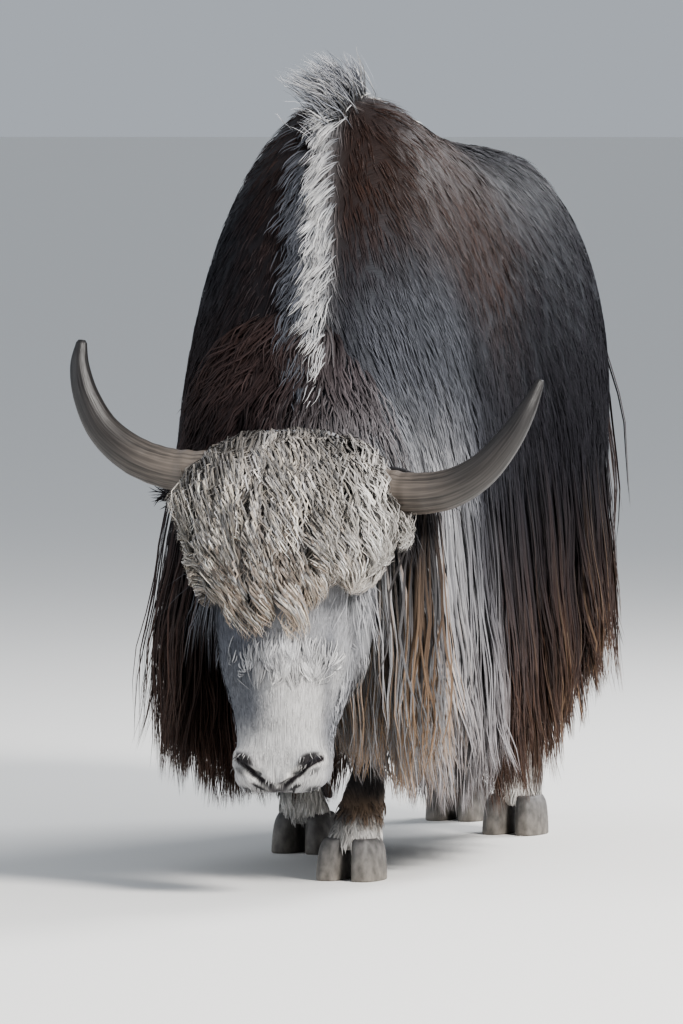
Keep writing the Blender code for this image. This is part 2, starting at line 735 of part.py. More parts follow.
def forelock(core):
    """Wavy locks that fall from the poll over forehead and horn bases."""
    tree = surface_of(core)
    locks = []
    for count, root_spread, root_down, tip_spread, tip_down, stand in FORELOCK_ROWS:
        for u in np.linspace(-1, 1, count):
            root = hit(tree, on_head(u * root_spread, 0.4, root_down), -OUT_OF_FACE)
            tip = on_head(u * tip_spread, 0.06, tip_down - 0.06 * u * u + draw.uniform(-0.015, 0.015))
            hang = tip - root
            length = float(np.linalg.norm(hang))
            out = OUT_OF_FACE + 0.35 * u * ACROSS
            out = out - (out @ hang) * hang / length**2
            wide, wave = draw.uniform(0.030, 0.036), draw.choice((-1, 1)) * draw.uniform(0.010, 0.016)
            locks.append(lock(root, out, hang, length, wide, 0.018, stand, 0.0, wave, draw.uniform(1.0, 1.4)))
    return locks


# Line of the crest, and rows down it: share of the way, sideways places, length, half width
CREST = np.array([(0.0, -0.34, 1.30), (0.005, -0.48, 1.16), (0.035, -0.57, 1.03), (0.062, -0.645, 0.91)])
MANE_ROWS = (
    (0.03, (-0.035, 0.030), 0.28, 0.042),
    (0.27, (-0.045, 0.015), 0.27, 0.042),
    (0.50, (-0.070, -0.010, 0.050), 0.25, 0.042),
    (0.74, (-0.105, -0.040, 0.025, 0.090), 0.20, 0.044),
)
MANE_RISE = 0.022


def mane(core):
    """Locks like tiles down the crest of the neck, the lowest ones falling over the poll."""
    tree = surface_of(core)
    downhill = unit(CREST[-1] - CREST[0])
    upright = unit(np.cross((1, 0, 0), downhill) * -1)
    locks = []
    for share, places, length, half_width in MANE_ROWS:
        middle = smooth(range(len(CREST)), CREST, share * (len(CREST) - 1))[0]
        for x in places:
            root = hit(tree, middle + (x, 0, 0) + upright * 0.4, -upright)
            if root is None:
                continue
            hang = downhill + (draw.uniform(-0.18, 0.04) + 0.8 * x, 0, 0)
            sway, wave = draw.uniform(-0.02, 0.01), draw.uniform(-0.014, 0.014)
            long = length * draw.uniform(0.9, 1.1)
            locks.append(laid_lock(tree, root, upright, hang, long, half_width, 0.016, MANE_RISE, sway, wave))
    return locks


# Locks of throat and brisket: x, y, height of the root, height of the tip
THROAT_LOCKS = (
    (-0.250, -0.520, 0.76, 0.20), (-0.185, -0.540, 0.73, 0.22), (-0.110, -0.560, 0.68, 0.27),
    (-0.030, -0.585, 0.66, 0.32), (0.050, -0.590, 0.66, 0.30), (0.125, -0.575, 0.68, 0.22),
    (0.195, -0.545, 0.72, 0.19), (0.258, -0.520, 0.76, 0.17), (-0.190, -0.560, 0.86, 0.42),
    (0.230, -0.560, 0.86, 0.38),
)


def throat_fringe(core):
    """Locks that hang from the underside and the sides of the neck."""
    tree = surface_of(core)
    locks = []
    for x, y, root_z, tip_z in THROAT_LOCKS:
        aim = np.array([0.04, y + 0.10, root_z + 0.06])
        start = np.array([x * 2.2, y - 0.15, root_z - 0.12])
        root = hit(tree, start, aim - start)
        if root is None:
            continue
        out = (x - 0.03, -0.10, 0.0)
        wide = draw.uniform(0.042, 0.050)
        sway, wave = draw.uniform(-0.015, 0.015), draw.uniform(-0.012, 0.012)
        locks.append(lock(root, out, DOWNWARDS, root[2] - tip_z, wide, 0.018, 0.022, sway, wave))
    return locks


# Tuft on the hump: y and x of the root, length, how far its tip rises
HUMP_TUFT = (
    (-0.08, 0.020, 0.15, 0.040), (-0.12, -0.022, 0.16, 0.050), (-0.15, 0.040, 0.15, 0.040),
    (-0.18, 0.004, 0.16, 0.060), (-0.21, -0.040, 0.15, 0.045), (-0.23, 0.028, 0.15, 0.055),
)


def hump_tuft(core):
    """Locks that stand up on the hump and fall forwards and to the animal's right."""
    tree = surface_of(core)
    locks = []
    for y, x, length, rise in HUMP_TUFT:
        root = hit(tree, (x, y, 2.0), DOWNWARDS)
        hang = (-0.2 + draw.uniform(-0.2, 0.2), -0.95, 0)
        locks.append(laid_lock(tree, root, (0, 0, 1), hang, length, 0.024, 0.016, rise, 0.0, 0.004))
    return locks


# Tail locks: how many round the tail, and the heights of roots and tips of each third of them
TAIL_LOCK_COUNT = 9
TAIL_LOCK_ROOTS, TAIL_LOCK_TIPS = (0.76, 0.90, 1.04), (0.25, 0.33, 0.44)


def tail_brush(core):
    """Long locks all round the lower half of the tail, closing to a point."""
    tree = surface_of(core)
    locks = []
    for i in range(TAIL_LOCK_COUNT):
        turn = 2 * math.pi * i / TAIL_LOCK_COUNT
        root_z, tip_z = TAIL_LOCK_ROOTS[i % 3], TAIL_LOCK_TIPS[i % 3]
        middle = smooth(TAIL_STATIONS[::-1, 2], TAIL_STATIONS[::-1, :2], root_z)[0]
        out = np.array([math.cos(turn), math.sin(turn), 0.0])
        root = hit(tree, np.array([*middle, root_z]) + out * 0.3, -out)
        if root is None:
            continue
        hang = np.array([0.08, 0.0, -1.0]) - 0.03 * out
        sway, wave = draw.uniform(-0.02, 0.02), draw.uniform(-0.012, 0.012)
        locks.append(lock(root, out, hang, root_z - tip_z, 0.044, 0.016, 0.060, sway, wave))
    return locks


def centre_on_floor():
    """Moves every piece so that the origin lies under the middle of the model's box."""
    pieces = [obj for obj in bpy.data.objects if obj.type == "MESH"]
    points = np.array([v.co for obj in pieces for v in obj.data.vertices])
    low, high = points.min(axis=0), points.max(axis=0)
    shift = Vector((-(low[0] + high[0]) / 2, -(low[1] + high[1]) / 2, 0))
    for obj in pieces:
        obj.data.transform(Matrix.Translation(shift))
    print("moved by", [round(v, 5) for v in shift])


def main():
    clear_scene()
    pieces = body_pieces()
    torso, neck = pieces["torso"], pieces["neck"]
    slabs = {name: piece for name, piece in pieces.items() if piece not in (torso, neck)}

    eyes = [eye(name) for name in SIDES]
    skull = head(eyes)
    cut_clear(neck, [skull])
    horns = [cut_clear(horn(name), [skull]) for name in SIDES]
    ears = [cut_clear(ear(name), [skull, neck, *horns]) for name in SIDES]

    legs = []
    for name in FEET:
        legs.append(cut_clear(leg(name), pieces.values()))
        outward = SIDES[name.split("_")[1]]
        claw(name, "outer", outward)
        claw(name, "inner", -outward)

    fused(skull, forelock(skull), [neck, *horns, *ears, *eyes])
    on_face = [skull, *horns, *ears]
    for side_name, side in SIDES.items():
        shoulder = slabs["shoulder_" + side_name]
        fused(shoulder, skirt(shoulder, "shoulder", side), [torso, neck, *legs, *on_face])
    shoulders = [slabs["shoulder_left"], slabs["shoulder_right"]]
    fused(neck, mane(neck) + throat_fringe(neck), [torso, *shoulders, *legs, *on_face])
    fused(torso, hump_tuft(torso), [neck])

    tail = cut_clear(tail_core(), pieces.values())
    for part, ahead in (("flank", "shoulder"), ("haunch", "flank")):
        for side_name, side in SIDES.items():
            slab = slabs[f"{part}_{side_name}"]
            fused(slab, skirt(slab, part, side), [torso, tail, *legs, slabs[f"{ahead}_{side_name}"]])
    fused(tail, tail_brush(tail), [torso, *slabs.values(), *legs])
    centre_on_floor()


main()
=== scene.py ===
# %% [markdown]
# # A grazing yak
# This lesson dresses a faceted model of a yak, so that it looks like the live animal. The packed
# model gives the frame: where the hooves stand, how big everything is, and where the hair ends.
# Everything below is worked out from a few measured sections and a handful of formulas.

import math

import bpy
import numpy as np
from mathutils import Euler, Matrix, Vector


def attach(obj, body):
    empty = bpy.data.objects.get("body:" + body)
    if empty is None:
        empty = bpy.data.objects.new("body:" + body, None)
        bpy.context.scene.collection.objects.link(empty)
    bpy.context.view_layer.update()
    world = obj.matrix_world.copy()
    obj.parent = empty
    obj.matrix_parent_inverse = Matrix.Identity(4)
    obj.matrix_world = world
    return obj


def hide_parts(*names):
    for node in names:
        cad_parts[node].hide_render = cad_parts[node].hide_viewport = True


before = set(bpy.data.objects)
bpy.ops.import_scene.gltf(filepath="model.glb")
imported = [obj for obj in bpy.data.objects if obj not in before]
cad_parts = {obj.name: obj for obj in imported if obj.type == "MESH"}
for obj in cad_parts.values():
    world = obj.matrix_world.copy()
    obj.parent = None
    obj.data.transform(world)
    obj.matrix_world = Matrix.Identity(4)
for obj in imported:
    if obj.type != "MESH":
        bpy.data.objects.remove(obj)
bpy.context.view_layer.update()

# %% [markdown]
# The sections of the animal were measured from a point under its body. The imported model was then
# moved so that its box stands over the origin, so each new mesh is moved by the same amount.

# %% Small helpers for whole arrays
SHIFT = np.array([-0.10328, -0.11512, 0.0])
rng = np.random.default_rng(11)
print("each mesh is moved by", SHIFT.tolist(), "metres")


def unit(vectors):
    """Each vector divided by its own length."""
    vectors = np.asarray(vectors, float)
    return vectors / np.maximum(np.linalg.norm(vectors, axis=-1, keepdims=True), 1e-12)


def bell(distance, width):
    """One at distance 0, falling off as e to the minus (distance / width) squared."""
    return np.exp(-((np.asarray(distance) / width) ** 2))


def ramp(value, low, high):
    """0 at low and 1 at high, with the smooth step 3t^2 - 2t^3 between; low may be the larger."""
    t = np.clip((np.asarray(value, float) - low) / (high - low), 0, 1)
    return t * t * (3 - 2 * t)


def smooth(keys, rows, at):
    """Rows read along a smooth curve through them: cubic Hermite spans with mean slopes."""
    keys = np.asarray(keys, float)
    rows = np.asarray(rows, float).reshape(len(keys), -1)
    at = np.atleast_1d(np.asarray(at, float))
    step = np.diff(keys)[:, None]
    slope = np.diff(rows, axis=0) / step
    tangent = np.vstack([slope[:1], (slope[1:] + slope[:-1]) / 2, slope[-1:]])
    span = np.clip(np.searchsorted(keys, at, side="right") - 1, 0, len(keys) - 2)
    t = (at - keys[span])[:, None] / step[span]
    near, far = (1 + 2 * t) * (1 - t) ** 2, t * t * (3 - 2 * t)
    leave, arrive = t * (1 - t) ** 2, t * t * (t - 1)
    along = leave * tangent[span] + arrive * tangent[span + 1]
    return near * rows[span] + far * rows[span + 1] + along * step[span]


# %% Meshes from arrays
def mesh_piece(name, points, quads=(), triangles=()):
    """A smooth shaded mesh object from whole arrays, turned outwards by the sign of its volume."""
    quads = np.asarray(quads, np.int32).reshape(-1, 4)
    triangles = np.asarray(triangles, np.int32).reshape(-1, 3)
    halves = np.concatenate([quads[:, [0, 1, 2]], quads[:, [0, 2, 3]], triangles])
    a, b, c = (points[halves[:, i]] for i in range(3))
    if np.einsum("ij,ij->i", a, np.cross(b, c)).sum() < 0:
        quads, triangles = quads[:, ::-1], triangles[:, ::-1]
    corners = np.concatenate([quads.ravel(), triangles.ravel()])
    starts = np.concatenate([np.arange(len(quads)) * 4, quads.size + np.arange(len(triangles)) * 3])
    mesh = bpy.data.meshes.new(name)
    mesh.vertices.add(len(points))
    mesh.loops.add(len(corners))
    mesh.polygons.add(len(starts))
    mesh.vertices.foreach_set("co", (points + SHIFT).astype(np.float32).ravel())
    mesh.loops.foreach_set("vertex_index", corners)
    mesh.polygons.foreach_set("loop_start", starts)
    mesh.polygons.foreach_set("use_smooth", np.ones(len(starts), bool))
    mesh.update(calc_edges=True)
    piece = bpy.data.objects.new(name, mesh)
    bpy.context.scene.collection.objects.link(piece)
    return piece


def numbers_of(items, field, width, kind):
    """The field of all items of a mesh as one array, with that many numbers an item."""
    flat = np.empty(len(items) * width, kind)
    items.foreach_get(field, flat)
    return flat.reshape(-1, width)


def give_map(piece, name, values):
    """Stores a map from one pair of numbers a vertex."""
    corners = numbers_of(piece.data.loops, "vertex_index", 1, np.int32)[:, 0]
    layer = piece.data.uv_layers.new(name=name)
    layer.data.foreach_set("uv", values[corners].astype(np.float32).ravel())


# %% Rings to tubes
def tube_quads(rows, around):
    """Quads between neighbouring rings, for rings of the same number of points."""
    i, j = np.meshgrid(np.arange(rows - 1), np.arange(around), indexing="ij")
    a, b = i * around + j, i * around + (j + 1) % around
    return np.stack([a, b, b + around, a + around], axis=-1).reshape(-1, 4)


def closed_piece(name, rings):
    """A closed mesh over rings, with a fan of triangles to a middle point at each end."""
    count, around, _ = rings.shape
    points = np.concatenate([rings.reshape(-1, 3), rings[0].mean(0)[None], rings[-1].mean(0)[None]])
    j = np.arange(around)
    k = (j + 1) % around
    last = (count - 1) * around
    first_fan = np.stack([np.full(around, count * around), k, j], axis=-1)
    last_fan = np.stack([np.full(around, count * around + 1), last + j, last + k], axis=-1)
    return mesh_piece(name, points, tube_quads(count, around), np.concatenate([first_fan, last_fan]))


def signed_power(wave, exponent):
    """The size of each value raised to the exponent, with the value's own sign."""
    return np.sign(wave) * np.abs(wave) ** exponent


def sweep(spine, wide, front, back, around, lateral=(1, 0, 0), power=2.0):
    """Superellipse rings square to a spine: side * wide * cos^(2/p) + ahead * depth * sin^(2/p)."""
    spine = np.asarray(spine, float)
    wide, front, back = (np.broadcast_to(v, len(spine))[:, None, None] for v in (wide, front, back))
    along = unit(np.gradient(spine, axis=0))
    lateral = np.asarray(lateral, float)
    side = unit(lateral - (along @ lateral)[:, None] * along)
    ahead = np.cross(along, side)
    turn = np.linspace(0, 2 * math.pi, around, endpoint=False)
    across = signed_power(np.cos(turn), 2 / power)[None, :, None]
    fore = signed_power(np.sin(turn), 2 / power)[None, :, None]
    depth = np.where(fore > 0, front, back)
    return spine[:, None] + side[:, None] * wide * across + ahead[:, None] * depth * fore


print("the first quad between two rings of four points:", tube_quads(2, 4)[0].tolist())

# %% [markdown]
# ## The body under the hair
# A yak's outline is mostly hair, so the skin lies about two centimetres inside the solid model.
# The body could be sculpted, but a loft keeps every size a number that can be checked: sections
# across the animal, each with a top, a widest line, a bottom and a half width. The neck is a second
# loft that slopes down to the grazing head.

# %% Torso
TORSO_STATIONS = np.array([
    # y, top, widest line, bottom, half width, roundness of the upper half
    (-0.62, 0.980, 0.74, 0.53, 0.175, 2.0),
    (-0.50, 1.160, 0.74, 0.47, 0.236, 2.1),
    (-0.36, 1.370, 0.74, 0.44, 0.290, 2.2),
    (-0.22, 1.480, 0.76, 0.45, 0.304, 2.15),
    (-0.07, 1.460, 0.78, 0.46, 0.290, 2.15),
    (0.15, 1.415, 0.80, 0.45, 0.284, 2.1),
    (0.35, 1.395, 0.82, 0.44, 0.294, 2.0),
    (0.55, 1.385, 0.84, 0.46, 0.266, 1.85),
    (0.75, 1.360, 0.88, 0.52, 0.215, 1.8),
    (0.90, 1.285, 0.93, 0.62, 0.170, 1.9),
    (1.00, 1.185, 0.95, 0.72, 0.120, 2.0),
])
TORSO_FRONT, TORSO_BACK, TORSO_CAP = -0.66, 1.03, 0.13
COAT_DEPTH = 0.018


def torso_rings():
    """Section at y: half superellipses above and below the widest line, shrunk to round ends."""
    cap = TORSO_CAP * np.array([0.02, 0.08, 0.2, 0.4, 0.7])
    inner = np.linspace(TORSO_FRONT + TORSO_CAP, TORSO_BACK - TORSO_CAP, 50)
    y = np.concatenate([TORSO_FRONT + cap, inner, TORSO_BACK - cap[::-1]])
    top, wide, bottom, half, power = smooth(TORSO_STATIONS[:, 0], TORSO_STATIONS[:, 1:], y).T
    inset = np.clip(1 - np.minimum(y - TORSO_FRONT, TORSO_BACK - y) / TORSO_CAP, 0, 0.985)
    small = np.sqrt(1 - inset**2)
    middle = (top + bottom) / 2
    high = middle + (top - middle) * small - COAT_DEPTH
    low = middle + (bottom - middle) * small + COAT_DEPTH
    half = np.maximum(half * small - COAT_DEPTH, 0.01)
    turn = np.linspace(0, 2 * math.pi, 72, endpoint=False)[None]
    cosine, sine = np.cos(turn), np.sin(turn)
    exponent = 2 / np.where(sine > 0, power[:, None], 2.2)
    x = half[:, None] * signed_power(cosine, exponent)
    height = np.where(sine > 0, (high - wide)[:, None], (wide - low)[:, None])
    z = wide[:, None] + height * signed_power(sine, exponent)
    return np.stack([x, np.broadcast_to(y[:, None], x.shape), z], axis=-1)


torso = closed_piece("torso_form", torso_rings())
print("the torso has", len(torso.data.polygons), "faces")

# %% Neck
NECK_STATIONS = np.array([
    # x, y, z, depth up and down, half width
    (0.000, -0.150, 1.040, 0.330, 0.200),
    (0.012, -0.300, 0.945, 0.285, 0.212),
    (0.035, -0.430, 0.850, 0.235, 0.205),
    (0.062, -0.550, 0.765, 0.175, 0.175),
    (0.075, -0.645, 0.710, 0.130, 0.130),
])


def neck_rings():
    """An elliptic tube along the neck's sloping middle line."""
    rows = smooth(range(5), NECK_STATIONS, np.linspace(0, 4, 40))
    half, depth = rows[:, 4] - COAT_DEPTH, rows[:, 3] - COAT_DEPTH
    return sweep(rows[:, :3], half, depth, depth, 56)


neck = closed_piece("neck_form", neck_rings())
print("the neck has", len(neck.data.polygons), "faces")

# %% [markdown]
# The legs stand in the photo's slow step. Plain tubes would do under the hair, but knees, shanks
# and fetlocks show below it, so a table gives each height its own width, and its rows are closest
# together there. The tail starts on the rump and hangs behind it.

# %% Where the legs stand and how thick they are
FEET = {
    "foreleg_left": (0.100, -0.450),
    "foreleg_right": (-0.180, 0.060),
    "hindleg_left": (0.070, 0.590),
    "hindleg_right": (-0.145, 0.860),
}
HOOF_TOP = 0.078
LEG_STATIONS = {
    # height, share of the way from the top's y to the sole's, half width, front, back
    "foreleg": np.array([
        (0.640, 0.00, 0.070, 0.090, 0.080),
        (0.520, 0.12, 0.061, 0.073, 0.069),
        (0.400, 0.30, 0.049, 0.053, 0.050),
        (0.345, 0.42, 0.048, 0.052, 0.042),
        (0.290, 0.52, 0.040, 0.040, 0.036),
        (0.210, 0.68, 0.031, 0.030, 0.034),
        (0.150, 0.80, 0.042, 0.038, 0.044),
        (0.110, 0.90, 0.045, 0.042, 0.043),
        (0.068, 0.98, 0.049, 0.046, 0.045),
        (0.055, 1.00, 0.036, 0.036, 0.034),
    ]),
    "hindleg": np.array([
        (0.860, -0.02, 0.080, 0.144, 0.114),
        (0.740, 0.00, 0.082, 0.134, 0.109),
        (0.620, 0.10, 0.066, 0.094, 0.079),
        (0.520, 0.40, 0.048, 0.056, 0.057),
        (0.450, 0.68, 0.043, 0.045, 0.053),
        (0.380, 0.76, 0.036, 0.036, 0.040),
        (0.250, 0.84, 0.030, 0.030, 0.033),
        (0.160, 0.90, 0.041, 0.037, 0.043),
        (0.110, 0.95, 0.044, 0.041, 0.041),
        (0.068, 0.99, 0.047, 0.044, 0.043),
        (0.055, 1.00, 0.035, 0.034, 0.033),
    ]),
}
# The top of each leg: across the body and along it
LEG_TOP = {"foreleg": (0.150, -0.27), "hindleg": (0.140, 0.66)}
# Knee and hock: height, how far back it bends or, below zero, forwards, and the width of its bell
LEG_BEND = {"foreleg": (0.340, -0.030, 0.10), "hindleg": (0.455, 0.115, 0.13)}
SIDES = {"left": 1, "right": -1}
print("the hooves stand at", FEET)


# %% Legs
def leg_rings(name):
    """Level rings whose middle swings from hip to sole, with a bell-shaped knee or hock."""
    kind, side_name = name.split("_")
    table = LEG_STATIONS[kind]
    sole_x, sole_y = FEET[name]
    top_x, top_y = LEG_TOP[kind]
    top_x = top_x * SIDES[side_name]
    share = (table[0, 0] - table[:, 0]) / (table[0, 0] - table[-1, 0])
    rows = smooth(range(len(table)), np.column_stack([table, share]), np.linspace(0, len(table) - 1, 60))
    z, swing, half, front, back, down = rows.T
    bend_z, bend, reach = LEG_BEND[kind]
    x = top_x + (sole_x - top_x) * down
    y = top_y + (sole_y - top_y) * swing + bend * bell(z - bend_z, reach)
    turn = np.linspace(0, 2 * math.pi, 32, endpoint=False)
    depth = np.where(np.sin(turn) < 0, front[:, None], back[:, None])
    ring_x = x[:, None] + half[:, None] * np.cos(turn)
    ring_y = y[:, None] + depth * np.sin(turn)
    return np.stack([ring_x, ring_y, np.broadcast_to(z[:, None], depth.shape)], axis=-1)


legs = [closed_piece(name + "_form", leg_rings(name)) for name in FEET]
print("made", len(legs), "legs")

# %% Tail
TAIL_STATIONS = np.array([
    # x, y, z, radius
    (0.000, 0.850, 1.225, 0.044),
    (0.000, 0.962, 1.172, 0.044),
    (0.004, 1.036, 1.065, 0.040),
    (0.016, 1.060, 0.925, 0.032),
    (0.030, 1.062, 0.780, 0.022),
    (0.042, 1.058, 0.640, 0.014),
])


def tail_rings():
    """A round tube that thins along the tail's middle line."""
    rows = smooth(range(6), TAIL_STATIONS, np.linspace(0, 5, 40))
    return sweep(rows[:, :3], rows[:, 3], rows[:, 3], rows[:, 3], 24)


tail = closed_piece("tail_form", tail_rings())
print("the tail has", len(tail.data.polygons), "faces")

# %% [markdown]
# The lofts could be left to overlap, but the short coat would show every seam. A Boolean makes them
# one closed surface, and the Remesh modifier in Voxel mode rebuilds it as an even grid. A Smooth
# modifier then melts the creases where neck and legs meet the body, as muscle and skin do.

# %% Fuse the body
VOXEL = 0.011


def applied(piece):
    """Puts the result of the piece's modifiers into its mesh."""
    bpy.context.view_layer.update()
    finished = piece.evaluated_get(bpy.context.evaluated_depsgraph_get())
    result = bpy.data.meshes.new_from_object(finished)
    piece.modifiers.clear()
    piece.data = result
    return piece


def union(piece, others):
    """One closed surface from the piece and the others, by a Boolean on a collection."""
    group = bpy.data.collections.new("parts_to_join")
    bpy.context.scene.collection.children.link(group)
    for other in others:
        group.objects.link(other)
    step = piece.modifiers.new("union", "BOOLEAN")
    step.operation, step.solver = "UNION", "MANIFOLD"
    step.operand_type, step.collection = "COLLECTION", group
    applied(piece)
    bpy.data.collections.remove(group)
    for other in others:
        bpy.data.objects.remove(other)
    return piece


def melted(piece, rounds):
    """The piece rebuilt on an even grid and smoothed that many times."""
    grid = piece.modifiers.new("grid", "REMESH")
    grid.mode, grid.voxel_size, grid.use_smooth_shade = "VOXEL", VOXEL, True
    soften = piece.modifiers.new("soften", "SMOOTH")
    soften.factor, soften.iterations = 0.5, rounds
    return applied(piece)


skin = melted(union(torso, [neck, tail, *legs]), 10)
skin.name = "skin"
print("the body's grid has", len(skin.data.polygons), "faces")

# %% [markdown]
# ## The head
# The head gets the most care. It has its own frame: across, out of the forehead, and down the
# face, so that it can be turned as a whole. It could be modelled by hand from a box, but forms this
# soft are easier to state as heights: a fine grid carries the broad form, and bumps and hollows are
# added along its normals for brows, cheek muscles, the ridge below the eyes, nostrils and lips.

# %% The head's own frame
POLL = np.array([0.077, -0.715, 0.775])
MUZZLE = np.array([0.108, -0.850, 0.190])
HEAD_YAW = math.radians(8)
DOWN_FACE = unit(MUZZLE - POLL)
LOOK = np.array([math.sin(HEAD_YAW), -math.cos(HEAD_YAW), 0.0])
OUT_OF_FACE = unit(LOOK - (LOOK @ DOWN_FACE) * DOWN_FACE)
ACROSS = np.cross(OUT_OF_FACE, DOWN_FACE)
HEAD_AXES = np.array([ACROSS, OUT_OF_FACE, DOWN_FACE])
HEAD_STATIONS = np.array([
    # down the face, half width, depth in front, depth behind
    (-0.075, 0.066, 0.024, 0.044),
    (-0.050, 0.112, 0.054, 0.079),
    (0.000, 0.142, 0.079, 0.099),
    (0.080, 0.143, 0.094, 0.129),
    (0.160, 0.136, 0.099, 0.157),
    (0.250, 0.127, 0.094, 0.172),
    (0.340, 0.115, 0.084, 0.154),
    (0.430, 0.095, 0.075, 0.112),
    (0.500, 0.085, 0.067, 0.089),
    (0.555, 0.087, 0.062, 0.078),
    (0.585, 0.079, 0.053, 0.063),
    (0.600, 0.050, 0.034, 0.038),
])


def on_head(across, out, down):
    """The animal's frame for points that are given in the head's own frame."""
    return POLL + np.stack(np.broadcast_arrays(across, out, down), axis=-1) @ HEAD_AXES


def head_place(points):
    """Across, out and down for points that are given in the animal's frame."""
    return (points - POLL) @ HEAD_AXES.T


def head_fullness(points):
    """About 1 on the head's surface, less inside and more outside it."""
    across, out, down = head_place(points).T
    stations = HEAD_STATIONS[:, 0]
    half, front, back = (np.interp(down, stations, HEAD_STATIONS[:, i]) for i in (1, 2, 3))
    depth = np.where(out > 0, front, back)
    full = (np.abs(across) / half) ** 2.3 + (np.abs(out) / depth) ** 2.3
    return np.where((down > -0.09) & (down < 0.62), full, 9.0)


print("from poll to muzzle:", round(float(np.linalg.norm(MUZZLE - POLL)), 3), "m")

# %% Eyes, nostrils and mouth as distances
EYE_PLACE = np.array([0.124, 0.040, 0.215])
EYE_RADIUS = 0.021
NOSTRIL = np.array([
    # the slit from its outer end to the middle of the nose: across, out, down
    (0.078, 0.036, 0.541),
    (0.059, 0.049, 0.555),
    (0.040, 0.053, 0.572),
    (0.024, 0.049, 0.585),
    (0.011, 0.042, 0.592),
])


def nostril_gap(place, depth=1.0):
    """Distance from the slits of the nostrils on both sides. Its part out of the face counts by
    the factor depth."""
    flat = place.reshape(-1, 3).copy()
    flat[:, 0] = np.abs(flat[:, 0])
    near = flat[:, 2] > 0.49
    gap = np.full(len(flat), 9.0)
    line = smooth(range(len(NOSTRIL)), NOSTRIL, np.linspace(0, len(NOSTRIL) - 1, 40))
    to_line = (flat[near][:, None] - line[None]) * (1.0, depth, 1.0)
    gap[near] = np.linalg.norm(to_line, axis=-1).min(axis=1)
    return gap.reshape(place.shape[:-1])


def mouth_gap(place):
    """How far a point is above or below the mouth, and how much of the mouth is there: the mouth
    is where out equals -0.028 - 0.13 (0.600 - down), from its corner to the front."""
    above = place[..., 1] + 0.028 + 0.13 * (0.600 - place[..., 2])
    return above, ramp(place[..., 2], 0.470, 0.490)


print("the eyes lie", EYE_PLACE.tolist(), "across, out and down")


# %% Bumps and hollows of the face
def spot(place, middle, size):
    """A bell round a middle, with its own width along each axis of the head, on both sides."""
    mirrored = np.abs(place[..., 0]) if middle[0] else place[..., 0]
    gap = np.stack([mirrored, place[..., 1], place[..., 2]], axis=-1) - np.array(middle)
    return np.exp(-((gap / np.array(size)) ** 2).sum(axis=-1))


FACE_FORMS = (
    # height, middle (across, out, down), width of the bell on each axis
    (0.014, (0.104, 0.066, 0.160), (0.034, 0.040, 0.026)),
    (0.010, (0.132, 0.040, 0.215), (0.050, 0.032, 0.034)),
    (-0.007, (0.112, 0.080, 0.215), (0.020, 0.020, 0.036)),
    (0.009, (0.112, 0.022, 0.275), (0.030, 0.030, 0.030)),
    (0.009, (0.098, 0.005, 0.350), (0.040, 0.030, 0.070)),
    (0.024, (0.106, -0.090, 0.230), (0.050, 0.070, 0.085)),
    (0.026, (0.100, -0.085, 0.350), (0.050, 0.055, 0.100)),
    (-0.007, (0.060, 0.070, 0.430), (0.025, 0.040, 0.080)),
    (0.007, (0.000, 0.085, 0.350), (0.034, 0.040, 0.130)),
    (-0.004, (0.000, 0.070, 0.500), (0.050, 0.040, 0.020)),
    (0.011, (0.056, 0.046, 0.545), (0.026, 0.030, 0.024)),
    (-0.016, (0.039, 0.056, 0.571), (0.015, 0.016, 0.008)),
    (0.006, (0.050, 0.016, 0.585), (0.030, 0.018, 0.020)),
    (0.014, (0.000, -0.066, 0.548), (0.050, 0.024, 0.034)),
    (-0.003, (0.000, 0.040, 0.592), (0.004, 0.020, 0.014)),
)


def head_rings():
    """Superellipse sections down the face. The chin draws back a little, and then each point moves
    along its normal by the sum of the bells, the slits of the nostrils and the line of the mouth."""
    down = np.concatenate([np.linspace(-0.075, 0.40, 110), np.linspace(0.403, 0.588, 84)])
    down = np.concatenate([down, [0.591, 0.594, 0.597, 0.599, 0.600]])
    half, front, back = smooth(HEAD_STATIONS[:, 0], HEAD_STATIONS[:, 1:], down).T
    closing = np.concatenate([np.ones(len(down) - 5), [1.0, 0.97, 0.9, 0.75, 0.5]])
    half, front, back = half * closing, front * closing, back * closing
    rings = sweep(on_head(0, 0, down), half, front, back, 200, ACROSS, 2.3)
    place = head_place(rings)
    recede = 0.26 * np.clip(0.02 - place[..., 1], 0, 1) * ramp(place[..., 2], 0.48, 0.60)
    rings = rings - DOWN_FACE * recede[..., None]
    turn_step = np.roll(rings, -1, axis=1) - np.roll(rings, 1, axis=1)
    normal = unit(np.cross(turn_step, np.gradient(rings, axis=0)))
    outside = rings - rings.mean(axis=1, keepdims=True)
    normal *= np.sign((outside * normal).sum(axis=-1, keepdims=True))
    height = sum(h * spot(place, middle, size) for h, middle, size in FACE_FORMS)
    slit, (above, mouth) = nostril_gap(place), mouth_gap(place)
    height = height - 0.011 * bell(slit, 0.0055) + 0.004 * bell(slit - 0.013, 0.007)
    lips = 0.003 * bell(np.abs(above) - 0.012, 0.008)
    height = height + mouth * (lips - 0.008 * bell(above, 0.0036))
    return rings + normal * height[..., None]


head = closed_piece("head_form", head_rings())
print("the head has", len(head.data.polygons), "faces")

# %% [markdown]
# Lids are thin folds of skin that lie on the eyeball as an almond. A rim could be cut into the
# head, but a ring swept round the eye can be laid on the ball exactly. The ears are leaves, cupped
# most at the root, and stand out behind the horns. Being thin, they need a wall of their own, so
# the section runs out along the outside and comes back inside.

# %% Lids
def head_axes(side):
    """Rows: outwards on that side, out of the face, down the face."""
    return np.array([side * ACROSS, OUT_OF_FACE, DOWN_FACE])


